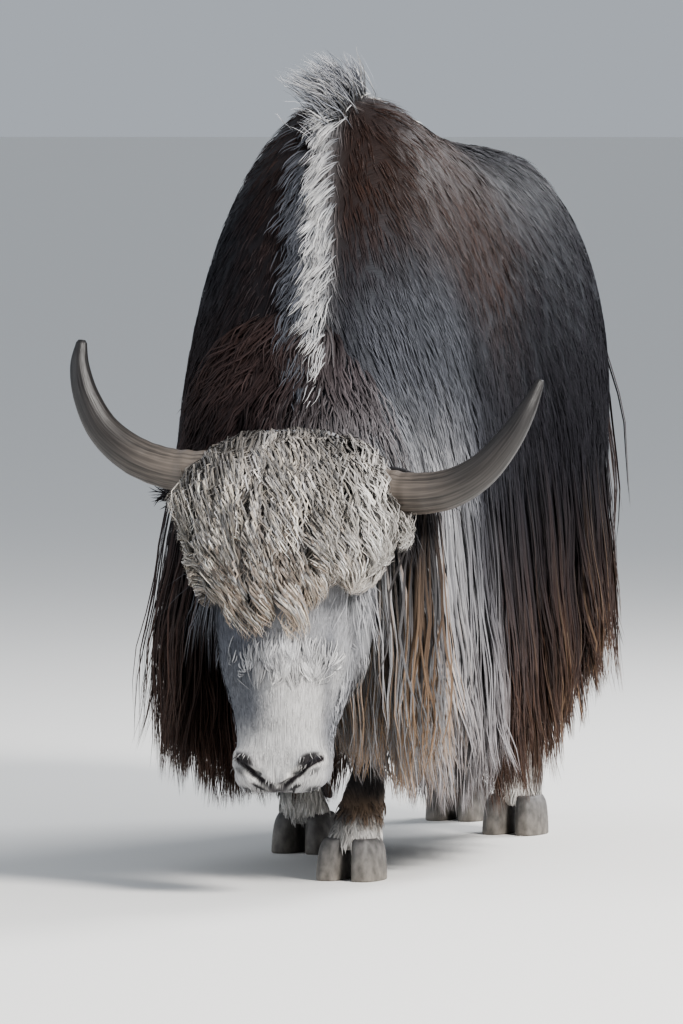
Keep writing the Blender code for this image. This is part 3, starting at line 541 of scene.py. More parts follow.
def eye_middle(side):
    """The middle of that side's eyeball."""
    return on_head(side * EYE_PLACE[0], EYE_PLACE[1], EYE_PLACE[2])


ALMOND_LONG, ALMOND_HIGH = 0.0175, 0.0105
LID_ROWS, LID_AROUND = 48, 10


def eyelids(side):
    """A round cord bent along an almond: rim(turn) plus a small circle, closed on itself."""
    axes, middle = head_axes(side), eye_middle(side)
    outward, forward = unit(axes[0] + 0.35 * axes[1]), unit(axes[1] - 0.35 * axes[0])
    turn = np.linspace(0, 2 * math.pi, LID_ROWS, endpoint=False)[:, None]
    opening = ALMOND_HIGH * signed_power(np.sin(turn), 1.25)
    rim = middle + ALMOND_LONG * np.cos(turn) * axes[2] + opening * forward
    bulge = EYE_RADIUS**2 - ALMOND_LONG**2 * np.cos(turn) ** 2 - opening**2
    rim = rim + outward * np.sqrt(np.maximum(bulge, 0))
    away = unit(rim - middle - outward * ((rim - middle) @ outward)[:, None])
    small = np.linspace(0, 2 * math.pi, LID_AROUND, endpoint=False)
    thick = (0.0036 + 0.0016 * (np.sin(turn) > 0))[:, None]
    swing = away[:, None] * (2.0 * np.cos(small) + 1.6)[None, :, None]
    swing = swing + outward * np.sin(small)[None, :, None]
    rings = rim[:, None] + thick * swing - outward * 0.0015
    quads = tube_quads(LID_ROWS + 1, LID_AROUND) % (LID_ROWS * LID_AROUND)
    return mesh_piece("lids_form", rings.reshape(-1, 3), quads)


# %% Ears
EAR_LENGTH, EAR_HALF_WIDTH, EAR_CUP, EAR_WALL = 0.145, 0.038, 0.026, 0.0045


def ear(side):
    """A leaf whose section is a parabola: the wall runs out along it and comes back inside."""
    axes = head_axes(side)
    root = on_head(side * 0.118, -0.052, 0.018)
    along = unit(axes[0] * 0.93 - axes[1] * 0.24 + axes[2] * 0.04)
    wide = unit(np.cross(along, axes[1]) * side)
    opening = unit(np.cross(wide, along) * side)
    u = np.linspace(0, 1, 40)[:, None, None]
    v = np.linspace(-1, 1, 20)[None, :, None]
    narrowing = np.maximum(np.sin(math.pi * np.minimum(u * 0.92 + 0.12, 1.0)) ** 0.7, 0.05)
    spread, cup = EAR_HALF_WIDTH * narrowing, EAR_CUP * (1 - u) ** 0.8 * narrowing
    middle = root + along * EAR_LENGTH * u - opening * cup * 0.6
    outer = middle + wide * spread * v + opening * (cup * v * v - EAR_WALL)
    inner = middle + wide * spread * v * 0.9 + opening * (cup * v * v + EAR_WALL * (1 - v * v) * 0.6)
    return closed_piece("ear_form", np.concatenate([outer, inner[:, ::-1]], axis=1))


union(skin, [head, *[ear(s) for s in SIDES.values()], *[eyelids(s) for s in SIDES.values()]])
print("skin, head, ears and lids are one surface of", len(skin.data.polygons), "faces")

# %% [markdown]
# The union leaves a sharp line where the head meets the neck. Repeated averaging with the
# neighbours, only within a few centimetres of that line, turns it into a fold of skin.

# %% Relax the line between head and neck
skin_points = numbers_of(skin.data.vertices, "co", 3, np.float32).astype(float) - SHIFT
skin_edges = numbers_of(skin.data.edges, "vertices", 2, np.int32)


def neighbour_mean(values):
    """For each vertex, the mean of the values at the other ends of its edges."""
    total, links = np.zeros_like(values), np.zeros(len(values))
    for a, b in ((0, 1), (1, 0)):
        np.add.at(total, skin_edges[:, a], values[skin_edges[:, b]])
        np.add.at(links, skin_edges[:, a], 1)
    return total / np.maximum(links, 1).reshape((-1,) + (1,) * (values.ndim - 1))


inside_head = (head_fullness(skin_points) < 1.12).astype(float)
near_line = np.abs(neighbour_mean(inside_head) - inside_head) > 0.01
near_line = (near_line & (head_place(skin_points)[:, 1] < 0.0)).astype(float)
for _ in range(5):
    near_line = np.maximum(near_line, (neighbour_mean(near_line) > 0.05).astype(float))
for _ in range(14):
    skin_points += (neighbour_mean(skin_points) - skin_points) * 0.5 * near_line[:, None]
skin.data.vertices.foreach_set("co", (skin_points + SHIFT).astype(np.float32).ravel())
skin.data.polygons.foreach_set("use_smooth", np.ones(len(skin.data.polygons), bool))
skin.data.update()
print("relaxed", int(near_line.sum()), "points round the back of the head")

# %% [markdown]
# ## Markings
# Skin and hair must agree in colour. An image could be painted for each, but a formula of place
# gives both the same colour everywhere, so both ask one function. It starts from blue-black and
# lays over it, each with a soft edge: brown on hump and neck, the silver stripe of the mane,
# silver hair and painted sheen on the left shoulder, tan and white hair above the hooves, the pale
# face, and painted shade on the right half of the face and in a crease on its left.

# %% Colours of the coat, as linear red, green and blue
BLACK_COAT = (0.013, 0.012, 0.015)
BROWN_COAT = (0.034, 0.020, 0.016)
# steel grey: painted sheen on the lit left shoulder, and the dark grey hair right of the mane
STEEL_SHEEN_AND_MANE_GREY = (0.068, 0.071, 0.082)
RUST_TIPS = (0.085, 0.046, 0.029)
SILVER = (0.36, 0.36, 0.37)
CREAM = (0.58, 0.52, 0.44)
TAN = (0.33, 0.225, 0.145)
FACE_GREY = (0.27, 0.27, 0.28)
WHITE_HAIR = (0.66, 0.64, 0.61)
BARE_SKIN = (0.022, 0.018, 0.020)
DARK_SHANK = (0.030, 0.027, 0.027)
CHEEK_GREY = (0.16, 0.16, 0.175)
# blue-grey for painted shade on the face
BLUE_PAINTED_SHADE = (0.055, 0.060, 0.076)
CHIN_BROWN = (0.20, 0.155, 0.125)
EAR_DARK = (0.030, 0.027, 0.028)
print("the darkest coat is", BLACK_COAT, "and the palest", WHITE_HAIR)


# %% Soft edges and clouds
CREST = np.array([
    # the line of the mane, from the hump to the neck: x, y, z
    (-0.012, -0.240, 1.470),
    (0.012, -0.340, 1.360),
    (0.050, -0.480, 1.170),
    (0.072, -0.560, 1.050),
    (0.102, -0.620, 0.955),
])


def over(base, colour, share):
    """The colour laid over the base, by a share from 0 to 1, one for all points or one for each."""
    base = np.asarray(base, float)
    return base + (np.asarray(colour, float) - base) * np.clip(share, 0, 1)[..., None]


def cloudy(points, scale, seed):
    """A slow pattern from -1 to 1: a product of waves along three slanting directions."""
    slants = np.array([(0.8, 0.5, -0.3), (-0.4, 0.9, 0.5), (0.5, -0.2, 0.9)])
    turned = points @ slants.T * scale + seed
    return np.sin(turned[:, 0]) * np.sin(turned[:, 1] + 1.3) + 0.5 * np.sin(turned[:, 2] * 1.7)


def crest_distance(points):
    """Distance from the line of the mane, measured to the nearest of many points on it."""
    line = smooth(range(len(CREST)), CREST, np.linspace(0, len(CREST) - 1, 60))
    found = np.full(len(points), 9.0)
    near = (np.abs(points[:, 0]) < 0.25) & (points[:, 1] < 0.0) & (points[:, 2] > 0.8)
    found[near] = np.linalg.norm(points[near][:, None] - line[None], axis=-1).min(axis=1)
    return found


# %% Markings of body, legs and face
def body_marking(colour, points):
    """Brown on hump and neck, silver hair and steel grey painted sheen on the left shoulder, the mane,
    the pale ridge.
    """
    x, y, z = points.T
    cloud = cloudy(points, 6.0, 0.4)
    brown = ramp(y, 0.45, -0.10) * ramp(z, 0.85, 1.10) * ramp(cloud, -0.9, 0.7)
    colour = over(colour, BROWN_COAT, brown)
    # painted sheen: steel grey over the left shoulder and neck, on the side where the light falls
    front = 0.20 * ramp(y, 0.15, -0.25) + 0.70 * ramp(y, -0.24, -0.36)
    colour = over(colour, STEEL_SHEEN_AND_MANE_GREY, front * ramp(z, 1.32, 1.02) * ramp(x, 0.02, 0.20))
    low_right = ramp(x, -0.10, -0.25) * ramp(z, 0.8, 0.5) * ramp(y, 0.1, -0.2)
    colour = over(colour, BROWN_COAT, 0.8 * low_right)
    # silver hair on the left shoulder, partly painted sheen where the light falls on that side
    shoulder = ramp(y, -0.28, -0.42) * ramp(z, 1.00, 0.74) * ramp(x, 0.02, 0.16)
    colour = over(colour, SILVER, 0.80 * shoulder)
    colour = over(colour, SILVER, 0.7 * bell(crest_distance(points), 0.018) * ramp(y, -0.62, -0.52))
    ridge = bell(x - 0.010, 0.020) * ramp(z, 1.34, 1.40)
    return over(colour, WHITE_HAIR, ridge * (0.9 * bell(y + 0.03, 0.12) + 0.10 * ramp(y, 0.0, 0.2)))


def leg_marking(colour, points, full):
    """Dark shanks, a tan patch on the fetlock in front, white hair towards the hooves."""
    _, y, z = points.T
    leg = ramp(z, 0.46, 0.38) * (full > 1.3)
    patchy = ramp(cloudy(points, 22.0, 2.0), -0.9, 0.3)
    near_fore = leg * ramp(y, -0.15, -0.30)
    colour = over(colour, DARK_SHANK, leg)
    colour = over(colour, TAN, near_fore * 0.7 * bell(z - 0.135, 0.022) * patchy)
    colour = over(colour, WHITE_HAIR, leg * 0.75 * ramp(z, 0.125, 0.100) * (0.4 + 0.6 * patchy))
    return over(colour, WHITE_HAIR, (leg - near_fore) * 0.7 * ramp(z, 0.23, 0.15) * patchy)


def face_marking(colour, place, full):
    """Grey, paler round the nostrils, darker on the cheeks, with painted shade on the right half and a
    painted shadow along a crease on the left, brown at the chin. The ears behind the horns are dark."""
    across, out, down = place.T
    face = ramp(full, 1.45, 1.15)
    colour = over(colour, FACE_GREY, face)
    pale = np.maximum(0.45 * ramp(down, 0.32, 0.42), 0.8 * bell(nostril_gap(place), 0.022))
    colour = over(colour, WHITE_HAIR, face * pale * ramp(out, 0.0, 0.05))
    cheek = face * 0.75 * ramp(out, 0.03, -0.06) * ramp(down, 0.52, 0.36)
    colour = over(colour, CHEEK_GREY, cheek)
    # painted shade on the face's right half, and a painted shadow in the crease before the left cheek
    painted_shade_right = 0.85 * ramp(across, 0.015, -0.060) * ramp(down, 0.54, 0.45)
    crease = bell(across - 0.092 + 0.06 * (down - 0.35), 0.010)
    crease = 0.55 * crease * ramp(down, 0.27, 0.34) * ramp(down, 0.54, 0.48)
    colour = over(colour, BLUE_PAINTED_SHADE, face * np.maximum(painted_shade_right, crease))
    chin = face * 0.6 * ramp(out, -0.03, -0.055) * ramp(down, 0.50, 0.56)
    colour = over(colour, CHIN_BROWN, chin)
    behind_horns = ramp(np.abs(across), 0.135, 0.155) * ramp(np.abs(down), 0.11, 0.08)
    return over(colour, EAR_DARK, behind_horns * ramp(np.abs(out), 0.16, 0.13))


def marking(points):
    """The coat's colour at each point of the animal's frame."""
    full = head_fullness(points)
    colour = body_marking(np.tile(BLACK_COAT, (len(points), 1)), points)
    colour = leg_marking(colour, points, full)
    return face_marking(colour, head_place(points), full)


# %% Bare skin and stored colours
def bare_share(points):
    """Where no hair grows: nostrils, the middle of the nose, lips and the rims of the lids."""
    place = head_place(points)
    above, mouth = mouth_gap(place)
    on_muzzle = head_fullness(points) < 1.6
    slits = ramp(nostril_gap(place, 0.2), 0.0068, 0.0040)
    share = np.maximum(mouth * bell(above, 0.005), slits) * on_muzzle
    share = np.maximum(share, spot(place, (0.0, 0.030, 0.600), (0.030, 0.020, 0.012)))
    lids = np.minimum(*[np.linalg.norm(points - eye_middle(s), axis=-1) for s in SIDES.values()])
    return np.maximum(share, ramp(lids, 0.030, 0.025))


def give_colours(piece, colours):
    """Stores one colour a vertex as the attribute coat_colour."""
    layer = piece.data.color_attributes.new("coat_colour", "FLOAT_COLOR", "POINT")
    with_alpha = np.column_stack([colours, np.ones(len(colours))])
    layer.data.foreach_set("color", with_alpha.astype(np.float32).ravel())


# %% Lie of the hair on the skin
# Height and radius of a round body with the same girth, how far the hair runs back for each step
# down, the radius of the face, and how far its middle line lies behind the head's own
CORE_HEIGHT, BODY_RADIUS, BACKWARD, FACE_RADIUS, FACE_CORE = 0.85, 0.45, 0.3, 0.11, 0.04


def lie_map(points):
    """Across and along the lie of the hair, in metres. On the body the hair runs down and back, so
    the lines y - 0.3 R ln(tan(angle / 2)) = constant follow it; on head and legs it runs down."""
    across, out, down = head_place(points).T
    x, y, z = points.T
    angle = np.clip(np.abs(np.arctan2(x, z - CORE_HEIGHT)), 0.04, 2.9)
    body_across = y - BACKWARD * BODY_RADIUS * np.log(np.tan(angle / 2))
    body = np.column_stack([body_across, BODY_RADIUS * angle + BACKWARD * y])
    face = np.column_stack([FACE_RADIUS * np.arctan2(across, out + FACE_CORE), down])
    shank = np.column_stack([x + y, z])
    on_face, on_leg = head_fullness(points) < 1.3, z < 0.44
    return np.where(on_face[:, None], face, np.where(on_leg[:, None], shank, body))


# painted shade: the skin under the body's hair is darker, where the hair would shade it
shade_under_coat = ramp(head_fullness(skin_points), 1.2, 1.5) * ramp(skin_points[:, 2], 0.40, 0.50)
skin_colour = marking(skin_points) * (0.92 - 0.32 * shade_under_coat)[:, None]
give_colours(skin, over(skin_colour, BARE_SKIN, bare_share(skin_points)))
print("coloured", len(skin_points), "points of the skin")

# %% [markdown]
# ## Finishes
# Hair has a weak, broad gloss and, where it is woolly, a soft bright edge. Blender has a shader for
# strands, but that one is meant for hair curves, so solid tufts use the main shader. It reads the
# stored colour, breaks it up with fine lines of noise along the hair, uses the same lines as bump,
# and takes fixed values for gloss and sheen.


# %% Building blocks for materials
def shader_of(name):
    """A new material with its node tree and its main shader."""
    made = bpy.data.materials.new(name)
    made.use_nodes = True
    return made, made.node_tree, made.node_tree.nodes["Principled BSDF"]


def node(tree, kind, **values):
    """A node of that kind; values name its sockets, with spaces written as underscores."""
    made = tree.nodes.new(kind)
    for key, value in values.items():
        made.inputs[key.replace("_", " ")].default_value = value
    return made


def lit_by_noise(tree, colour, coordinates, scale, low, high, detail=4.0):
    """The colour times a noise that runs between the factors low and high."""
    noise = node(tree, "ShaderNodeTexNoise", Scale=scale, Detail=detail)
    tree.links.new(coordinates, noise.inputs["Vector"])
    span = node(tree, "ShaderNodeMapRange")
    for socket, value in zip(("From Min", "From Max", "To Min", "To Max"), (0.3, 0.7, low, high)):
        span.inputs[socket].default_value = value
    tree.links.new(noise.outputs["Fac"], span.inputs["Value"])
    scaled = tree.nodes.new("ShaderNodeVectorMath")
    scaled.operation = "SCALE"
    tree.links.new(colour, scaled.inputs[0])
    tree.links.new(span.outputs["Result"], scaled.inputs["Scale"])
    return scaled.outputs["Vector"], noise.outputs["Fac"]


def bumped(tree, shader, height, strength, distance):
    """Lets the height tilt the shader's normal."""
    bump = node(tree, "ShaderNodeBump", Strength=strength, Distance=distance)
    tree.links.new(height, bump.inputs["Height"])
    tree.links.new(bump.outputs["Normal"], shader.inputs["Normal"])


def stored_colour(tree):
    """The colour stored at each vertex."""
    reader = tree.nodes.new("ShaderNodeAttribute")
    reader.attribute_name = "coat_colour"
    return reader.outputs["Color"]


def on_map(tree, name, scale):
    """The named map as coordinates, stretched by the scale."""
    uv = tree.nodes.new("ShaderNodeUVMap")
    uv.uv_map = name
    stretch = tree.nodes.new("ShaderNodeMapping")
    stretch.inputs["Scale"].default_value = (*scale, 1.0)
    tree.links.new(uv.outputs["UV"], stretch.inputs["Vector"])
    return stretch.outputs["Vector"]


def colour_steps(tree, share, *stops):
    """A colour that runs through the stops, each a place from 0 to 1 and a colour, as the share
    grows. The first and the last stop lie at 0 and 1."""
    shades = tree.nodes.new("ShaderNodeValToRGB")
    steps = shades.color_ramp.elements
    steps[0].color, steps[1].color = (*stops[0][1], 1), (*stops[-1][1], 1)
    for place, colour in stops[1:-1]:
        steps.new(place).color = (*colour, 1)
    tree.links.new(share, shades.inputs["Fac"])
    return shades.outputs["Color"]


def split_into(tree, vector, axis):
    """One axis of a vector."""
    split = tree.nodes.new("ShaderNodeSeparateXYZ")
    tree.links.new(vector, split.inputs["Vector"])
    return split.outputs[axis]


# %% Materials for skin and hair
def fur_finish(name, map_name, scale, tones, bump, roughness, sheen):
    """Stored colour times fine lines along the hair; the same lines as bump; fixed gloss."""
    made, tree, shader = shader_of(name)
    lines = on_map(tree, map_name, scale)
    colour, height = lit_by_noise(tree, stored_colour(tree), lines, 1.0, *tones, 3.0)
    tree.links.new(colour, shader.inputs["Base Color"])
    bumped(tree, shader, height, bump, 0.002)
    shader.inputs["Roughness"].default_value = roughness
    shader.inputs["Specular IOR Level"].default_value = 0.13
    shader.inputs["Sheen Weight"].default_value = sheen
    shader.inputs["Sheen Tint"].default_value = (0.75, 0.85, 1.0, 1.0)
    shader.inputs["Specular Tint"].default_value = (0.85, 0.92, 1.0, 1.0)
    return made


SHORT_FUR = fur_finish("short_fur", "lie", (420.0, 34.0), (0.62, 1.38), 0.55, 0.50, 0.05)
SLEEK_HAIR = fur_finish("sleek_hair", "strand", (4.0, 6.0), (0.75, 1.3), 0.25, 0.42, 0.0)
SOFT_HAIR = fur_finish("soft_hair", "strand", (5.0, 6.0), (0.65, 1.4), 0.30, 0.55, 0.06)
LONG_HAIR = fur_finish("long_hair", "strand", (9.0, 4.0), (0.45, 1.6), 0.60, 0.45, 0.0)
print("four finishes for skin and hair")


# %% Hand over the skin
def hand_over(piece, slot_name, finish, *nodes):
    """Gives the piece its finish and, if any, hides the nodes that it stands for; slot_name is not
    used. It rides on the one still body."""
    piece.data.materials.clear()
    piece.data.materials.append(finish)
    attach(piece, "root")
    if nodes:
        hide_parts(*nodes)


FLESH = [
    "head", "neck", "torso", "tail", "ear_left", "ear_right", "shoulder_left", "shoulder_right",
    "flank_left", "flank_right", "haunch_left", "haunch_right", *FEET,
]
give_map(skin, "lie", lie_map(skin_points))
hand_over(skin, "dark_coat", SHORT_FUR, *FLESH)
print("the skin stands for", len(FLESH), "nodes")

# %% [markdown]
# ## Hair
# Real hair is far too fine to model one by one, and particle hair is lost when a model is exported.
# So each tuft here is solid: a thin three-sided blade that stands for a few dozen hairs. Its middle
# line leaves the skin in one direction and bends towards another:
# P(t) = root + length * (first * (t - t^2/2) + last * t^2/2), which is what a direction that turns
# evenly from first to last adds up to. A wave swings it from side to side, and neighbours lean
# together into locks, as greasy hair does.

# %% Places on the skin
skin.data.calc_loop_triangles()
skin_triangles = numbers_of(skin.data.loop_triangles, "vertices", 3, np.int32)
skin_normals = numbers_of(skin.data.vertices, "normal", 3, np.float32).astype(float)
corner_a, corner_b, corner_c = (skin_points[skin_triangles[:, i]] for i in range(3))
triangle_area = np.linalg.norm(np.cross(corner_b - corner_a, corner_c - corner_a), axis=1) / 2
triangle_middle = (corner_a + corner_b + corner_c) / 3
triangle_normal = unit(skin_normals[skin_triangles].mean(axis=1))
middle_x, middle_y, middle_z = triangle_middle.T
in_across, in_out, in_down = head_place(triangle_middle).T
print("the skin has", len(skin_triangles), "triangles")

# %% Parts of the skin
is_head = head_fullness(triangle_middle) < 1.2
is_ear = ~is_head & (np.abs(in_across) > 0.150) & (np.abs(in_out) < 0.15)
is_ear &= (np.abs(in_down) < 0.12) & (middle_y < -0.66)
is_tail = (middle_y > 1.0) & (np.abs(middle_x - 0.02) < 0.075)
is_leg = ~is_head & ~is_tail & (middle_z < 0.455)
is_body = ~(is_head | is_ear | is_tail | is_leg)
for part, inside in (("body", is_body), ("head", is_head), ("legs", is_leg), ("ears", is_ear)):
    print(part, int(inside.sum()), "triangles")


# %% Roots and directions
def scatter(weight, number):
    """Random places on the skin, as dense as the weight of each triangle says, and their normals."""
    chance = triangle_area * weight
    picked = skin_triangles[rng.choice(len(chance), number, p=chance / chance.sum())]
    share = rng.random((number, 2))
    share = np.where(share.sum(axis=1, keepdims=True) > 1, 1 - share, share)
    weights = np.column_stack([1 - share.sum(axis=1), share])[..., None]
    normals = unit((skin_normals[picked] * weights).sum(axis=1))
    return (skin_points[picked] * weights).sum(axis=1), normals


def along_skin(direction, normals, spread):
    """The direction laid flat on the skin, turned a little at random for each tuft."""
    direction = np.broadcast_to(np.asarray(direction, float), normals.shape)
    flat_part = unit(direction - (direction * normals).sum(axis=1, keepdims=True) * normals)
    aside = np.cross(normals, flat_part)
    return unit(flat_part + aside * rng.normal(0, spread, (len(normals), 1)))


def drawn(value, number):
    """One value a tuft: a number or an array is kept, and a pair is a range to draw from."""
    if isinstance(value, tuple):
        return rng.uniform(*value, number)
    return np.broadcast_to(np.asarray(value, float), number)


# %% Unwraps for the tufts
def share_of_turn(across, ahead):
    """The angle round a middle line, from 0 to 1."""
    return np.arctan2(across, ahead) / (2 * math.pi) + 0.5


def round_body(points):
    """Unwrap of the body's shape: along it, and the angle round a line through its middle."""
    angle = share_of_turn(points[:, 0], points[:, 2] - CORE_HEIGHT)
    return np.column_stack([(points[:, 1] + 1.1) / 2.3, angle])


def round_head(points):
    """Unwrap of the head: down the face, and the angle round its middle line."""
    across, out, down = head_place(points).T
    return np.column_stack([down + 0.3, share_of_turn(across, out + FACE_CORE)])


def round_legs(points):
    """Unwrap of the legs side by side: the angle round each in a quarter of the map, and height."""
    feet = np.array(list(FEET.values()))
    which = np.linalg.norm(points[:, None, :2] - feet[None], axis=-1).argmin(axis=1)
    gap = points[:, :2] - feet[which]
    angle = share_of_turn(gap[:, 0], gap[:, 1])
    return np.column_stack([(which + 0.02 + 0.96 * angle) / 4, points[:, 2] / 0.7])


def round_tail(points):
    """Unwrap of the tail: height, and the angle round its middle line."""
    middle = smooth(-TAIL_STATIONS[:, 2], TAIL_STATIONS[:, :2], -points[:, 2])
    gap = points[:, :2] - middle
    return np.column_stack([share_of_turn(gap[:, 0], gap[:, 1]), points[:, 2] / 1.3])


# %% Locks that hang together
def leaders_of(roots, spacing):
    """For each tuft, the nearest of some that were drawn to lead a lock."""
    leaders = rng.choice(len(roots), max(int(len(roots) * spacing), 4), replace=False)
    gaps = (roots[leaders] ** 2).sum(axis=1)[None] - 2 * roots @ roots[leaders].T
    return leaders[gaps.argmin(axis=1)]


def middle_lines(roots, normals, first, last, length, t, group, pull, late, wave, curl, grow):
    """Bent paths, drawn towards their leader's path by pull t^late. A wave that a lock has in
    common grows as t^grow: sin of its phase to the side, curl times cos away from the skin."""
    number = len(roots)
    size = length[:, None, None]
    path = roots[:, None] + size * (first[:, None] * (t - t * t / 2) + last[:, None] * t * t / 2)
    path = path - normals[:, None] * np.minimum(0.004, 0.1 * size) * (1 - t) ** 4
    path = path + (path[group] - path) * pull * t**late
    turn = rng.uniform(0, 2 * math.pi, number)[group] + rng.normal(0, 0.3, number)
    wave_size, wave_length = (drawn(v, number)[group, None, None] for v in wave)
    phase = 2 * math.pi * size * t / wave_length + turn[:, None, None]
    swing = wave_size * t**grow
    side = unit(np.cross(normals, first))[:, None]
    path = path + side * swing * np.sin(phase) + normals[:, None] * swing * curl * np.cos(phase)
    return path, side


# %% Blades round the middle lines
def blade_points(path, side, width, t, fullest, thick):
    """Rings of three points and a tip. Half width at t is
    width/2 * (1 - |t - fullest| / reach)^0.6, so that it is narrower at both ends."""
    number = len(path)
    along = unit(np.gradient(path, axis=1))
    roll = rng.normal(0, 0.35, number)[:, None, None]
    level = unit(side - (side * along).sum(axis=-1, keepdims=True) * along)
    up = np.cross(along, level)
    level, up = level * np.cos(roll) + up * np.sin(roll), up * np.cos(roll) - level * np.sin(roll)
    reach = np.where(t < fullest, fullest * 2.2, 1.0 - fullest)
    half = width[:, None, None] / 2 * np.maximum(1 - np.abs(t - fullest) / reach, 0) ** 0.6
    blade = np.stack([path - level * half, path + up * half * thick, path + level * half], axis=2)
    return np.concatenate([blade[:, :-1].reshape(number, -1, 3), path[:, -1:]], axis=1)


def blade_faces(number, rings):
    """For each blade: quads between its rings, and triangles that close its root and its tip."""
    last_ring = 3 * rings - 3
    tip_fan = [(last_ring + i, last_ring + (i + 1) % 3, 3 * rings) for i in range(3)]
    offset = (np.arange(number) * (3 * rings + 1))[:, None, None]
    return tube_quads(rings, 3)[None] + offset, np.array([(0, 2, 1), *tip_fan])[None] + offset


def crease_sides(piece, ring_points):
    """Makes the two side edges of each blade sharp, so that its back shades as one soft curve."""
    ends = numbers_of(piece.data.edges, "vertices", 2, np.int32) % ring_points
    row = np.where(ends == ring_points - 1, 3, ends % 3)
    side = (row[:, 0] == row[:, 1]) | (row.max(axis=1) == 3)
    side &= row.min(axis=1) != 1
    layer = piece.data.attributes.new("sharp_edge", "BOOLEAN", "EDGE")
    layer.data.foreach_set("value", side)


# %% The tuft maker
PATCH = 0.003


def add_maps(piece, places, aside, steps, length):
    """OFBake puts each tuft in a small patch at its root; strand runs along each tuft in metres."""
    patch = places[:, None] + PATCH * np.column_stack([aside, steps - 0.5])[None]
    own = rng.random((len(places), 1)) * 50 + aside[None]
    strand = np.stack([own, np.broadcast_to(length[:, None] * steps[None], own.shape)], axis=-1)
    give_map(piece, "OFBake", np.clip(patch, 0.001, 0.999).reshape(-1, 2))
    give_map(piece, "strand", strand.reshape(-1, 2))


def tufts(name, roots, normals, first, last, length, width, rings, colours, tips, finish,
          unwrap=round_body, slot_name="dark_coat", wave=(0.0, 0.06), curl=0.0, grow=0.7,
          clump=(0.0, 0.2), late=1.3, fullest=0.35, shade=0.6, tone=0.16, thick=0.5, fade=1.3):
    """One closed blade for each root. Its colour goes over to that of the tips as t^fade, times a
    tone of its own, a tone of its lock, and the shade that the coat throws on its root."""
    number = len(roots)
    length, width = drawn(length, number), drawn(width, number)
    steps = np.linspace(0, 1, rings + 1) ** 0.85
    t = steps[None, :, None]
    group = leaders_of(roots, clump[1])
    path, side = middle_lines(
        roots, normals, unit(first), last, length, t, group, clump[0], late, wave, curl, grow)
    points = blade_points(path, side, width, t, fullest, thick).reshape(-1, 3)
    piece = mesh_piece(name, points, *blade_faces(number, rings))
    crease_sides(piece, 3 * rings + 1)
    at = np.concatenate([np.repeat(steps[:-1], 3), [1.0]])
    tones = rng.lognormal(0, tone, number) * rng.lognormal(0, tone, number)[group]
    share = at[None, :, None] ** fade
    # painted shade: each blade darkens towards its root by the factor shade
    depth = (shade + (1 - shade) * np.minimum(at * 2.5, 1.0))[None, :, None]
    mixed = colours[:, None] * (1 - share) + tips[:, None] * share
    give_colours(piece, (mixed * tones[:, None, None] * depth).clip(0, 0.9).reshape(-1, 3))
    across_blade = np.concatenate([np.tile([-0.5, 0.0, 0.5], rings), [0.0]])
    add_maps(piece, unwrap(roots), across_blade, at, length)
    hand_over(piece, slot_name, finish)
    print(f"{name}: {number} tufts, {number * (6 * (rings - 1) + 4)} triangles")


# %% [markdown]
# ### The sleek coat
# Over back, hump and neck the hair is short and lies flat. Bump alone would leave a hard outline,
# and long blades would look ragged, so thousands of short ones are pressed flat. They point back
# and down, which is one direction, laid flat on the skin at each root.

# %% Back and sides
DOWN = np.array([0.0, 0.0, -1.0])


def flat_coat(name, weight, number):
    """Fine tufts pressed flat, longer and looser where the skirts begin."""
    roots, normals = scatter(weight, number)
    lie = along_skin((0, 0.30, -1), normals, 0.10)
    low = ramp(roots[:, 2], 1.15, 0.80)[:, None]
    length = drawn((0.045, 0.075), number) * (1 + 1.2 * low[:, 0])
    last = lie - normals * 0.12 + DOWN * 0.25 * low
    colours = marking(roots)
    tufts(name, roots, normals, lie + normals * (0.12 + 0.08 * low), last, length,
          (0.0017, 0.0029), 2, colours, colours * 1.25, SLEEK_HAIR,
          clump=(0.35, 0.10), tone=0.10, shade=0.85)


upper = is_body * ramp(middle_z, 0.50, 0.62)
flat_coat("coat_left", upper * (middle_x > 0) * (middle_y > -0.35), 12500)
flat_coat("coat_right", upper * (middle_x <= 0) * (middle_y > -0.35), 9500)
flat_coat("coat_front", upper * (middle_y <= -0.35), 8500)

# %% [markdown]
# ### The skirts
# From the shoulders back, long hair hangs nearly to the ground in wavy locks. Sheets with painted
# strands would look like cloth, so the skirts are blades too, drawn together at their ends. The
# hem's height is a smooth curve along the body, and a tuft is about as long as its root is above
# the hem. Hair that starts high on the side is drawn a little shorter, so that the ends don't form
# one line.

# %% Hem and ends of the skirts
SKIRT_HEM = np.array([
    # along the body, height
    (-0.62, 0.195), (-0.45, 0.140), (-0.25, 0.105), (-0.10, 0.090), (0.06, 0.095),
    (0.25, 0.150), (0.45, 0.225), (0.65, 0.280), (0.85, 0.340), (1.00, 0.400),
])
SKIRT_PARTS = {
    # from, to along the body, number of tufts on each side
    "shoulder": (-0.60, -0.22, 1200),
    "flank": (-0.22, 0.42, 1900),
    "haunch": (0.42, 1.02, 1250),
}


def hair_ends(roots, side, part, colours):
    """Tips fade to red-brown on the flank and to silver and tan on the animal's left shoulder."""
    number = len(roots)
    ends = over(colours * 1.4, RUST_TIPS, drawn((0.6, 1.1), number))
    if part == "shoulder" and side > 0:
        near_face = ramp(roots[:, 1], -0.36, -0.50) * (rng.random(number) < 0.5)
        ends = over(ends, (0.36, 0.345, 0.355), drawn((0.5, 1.0), number))
        ends = over(ends, TAN, near_face)
    sunlit = (rng.random(number) < 0.12) * 0.6 * ramp(roots[:, 1], -0.2, 0.3)
    return over(ends, TAN, sunlit)


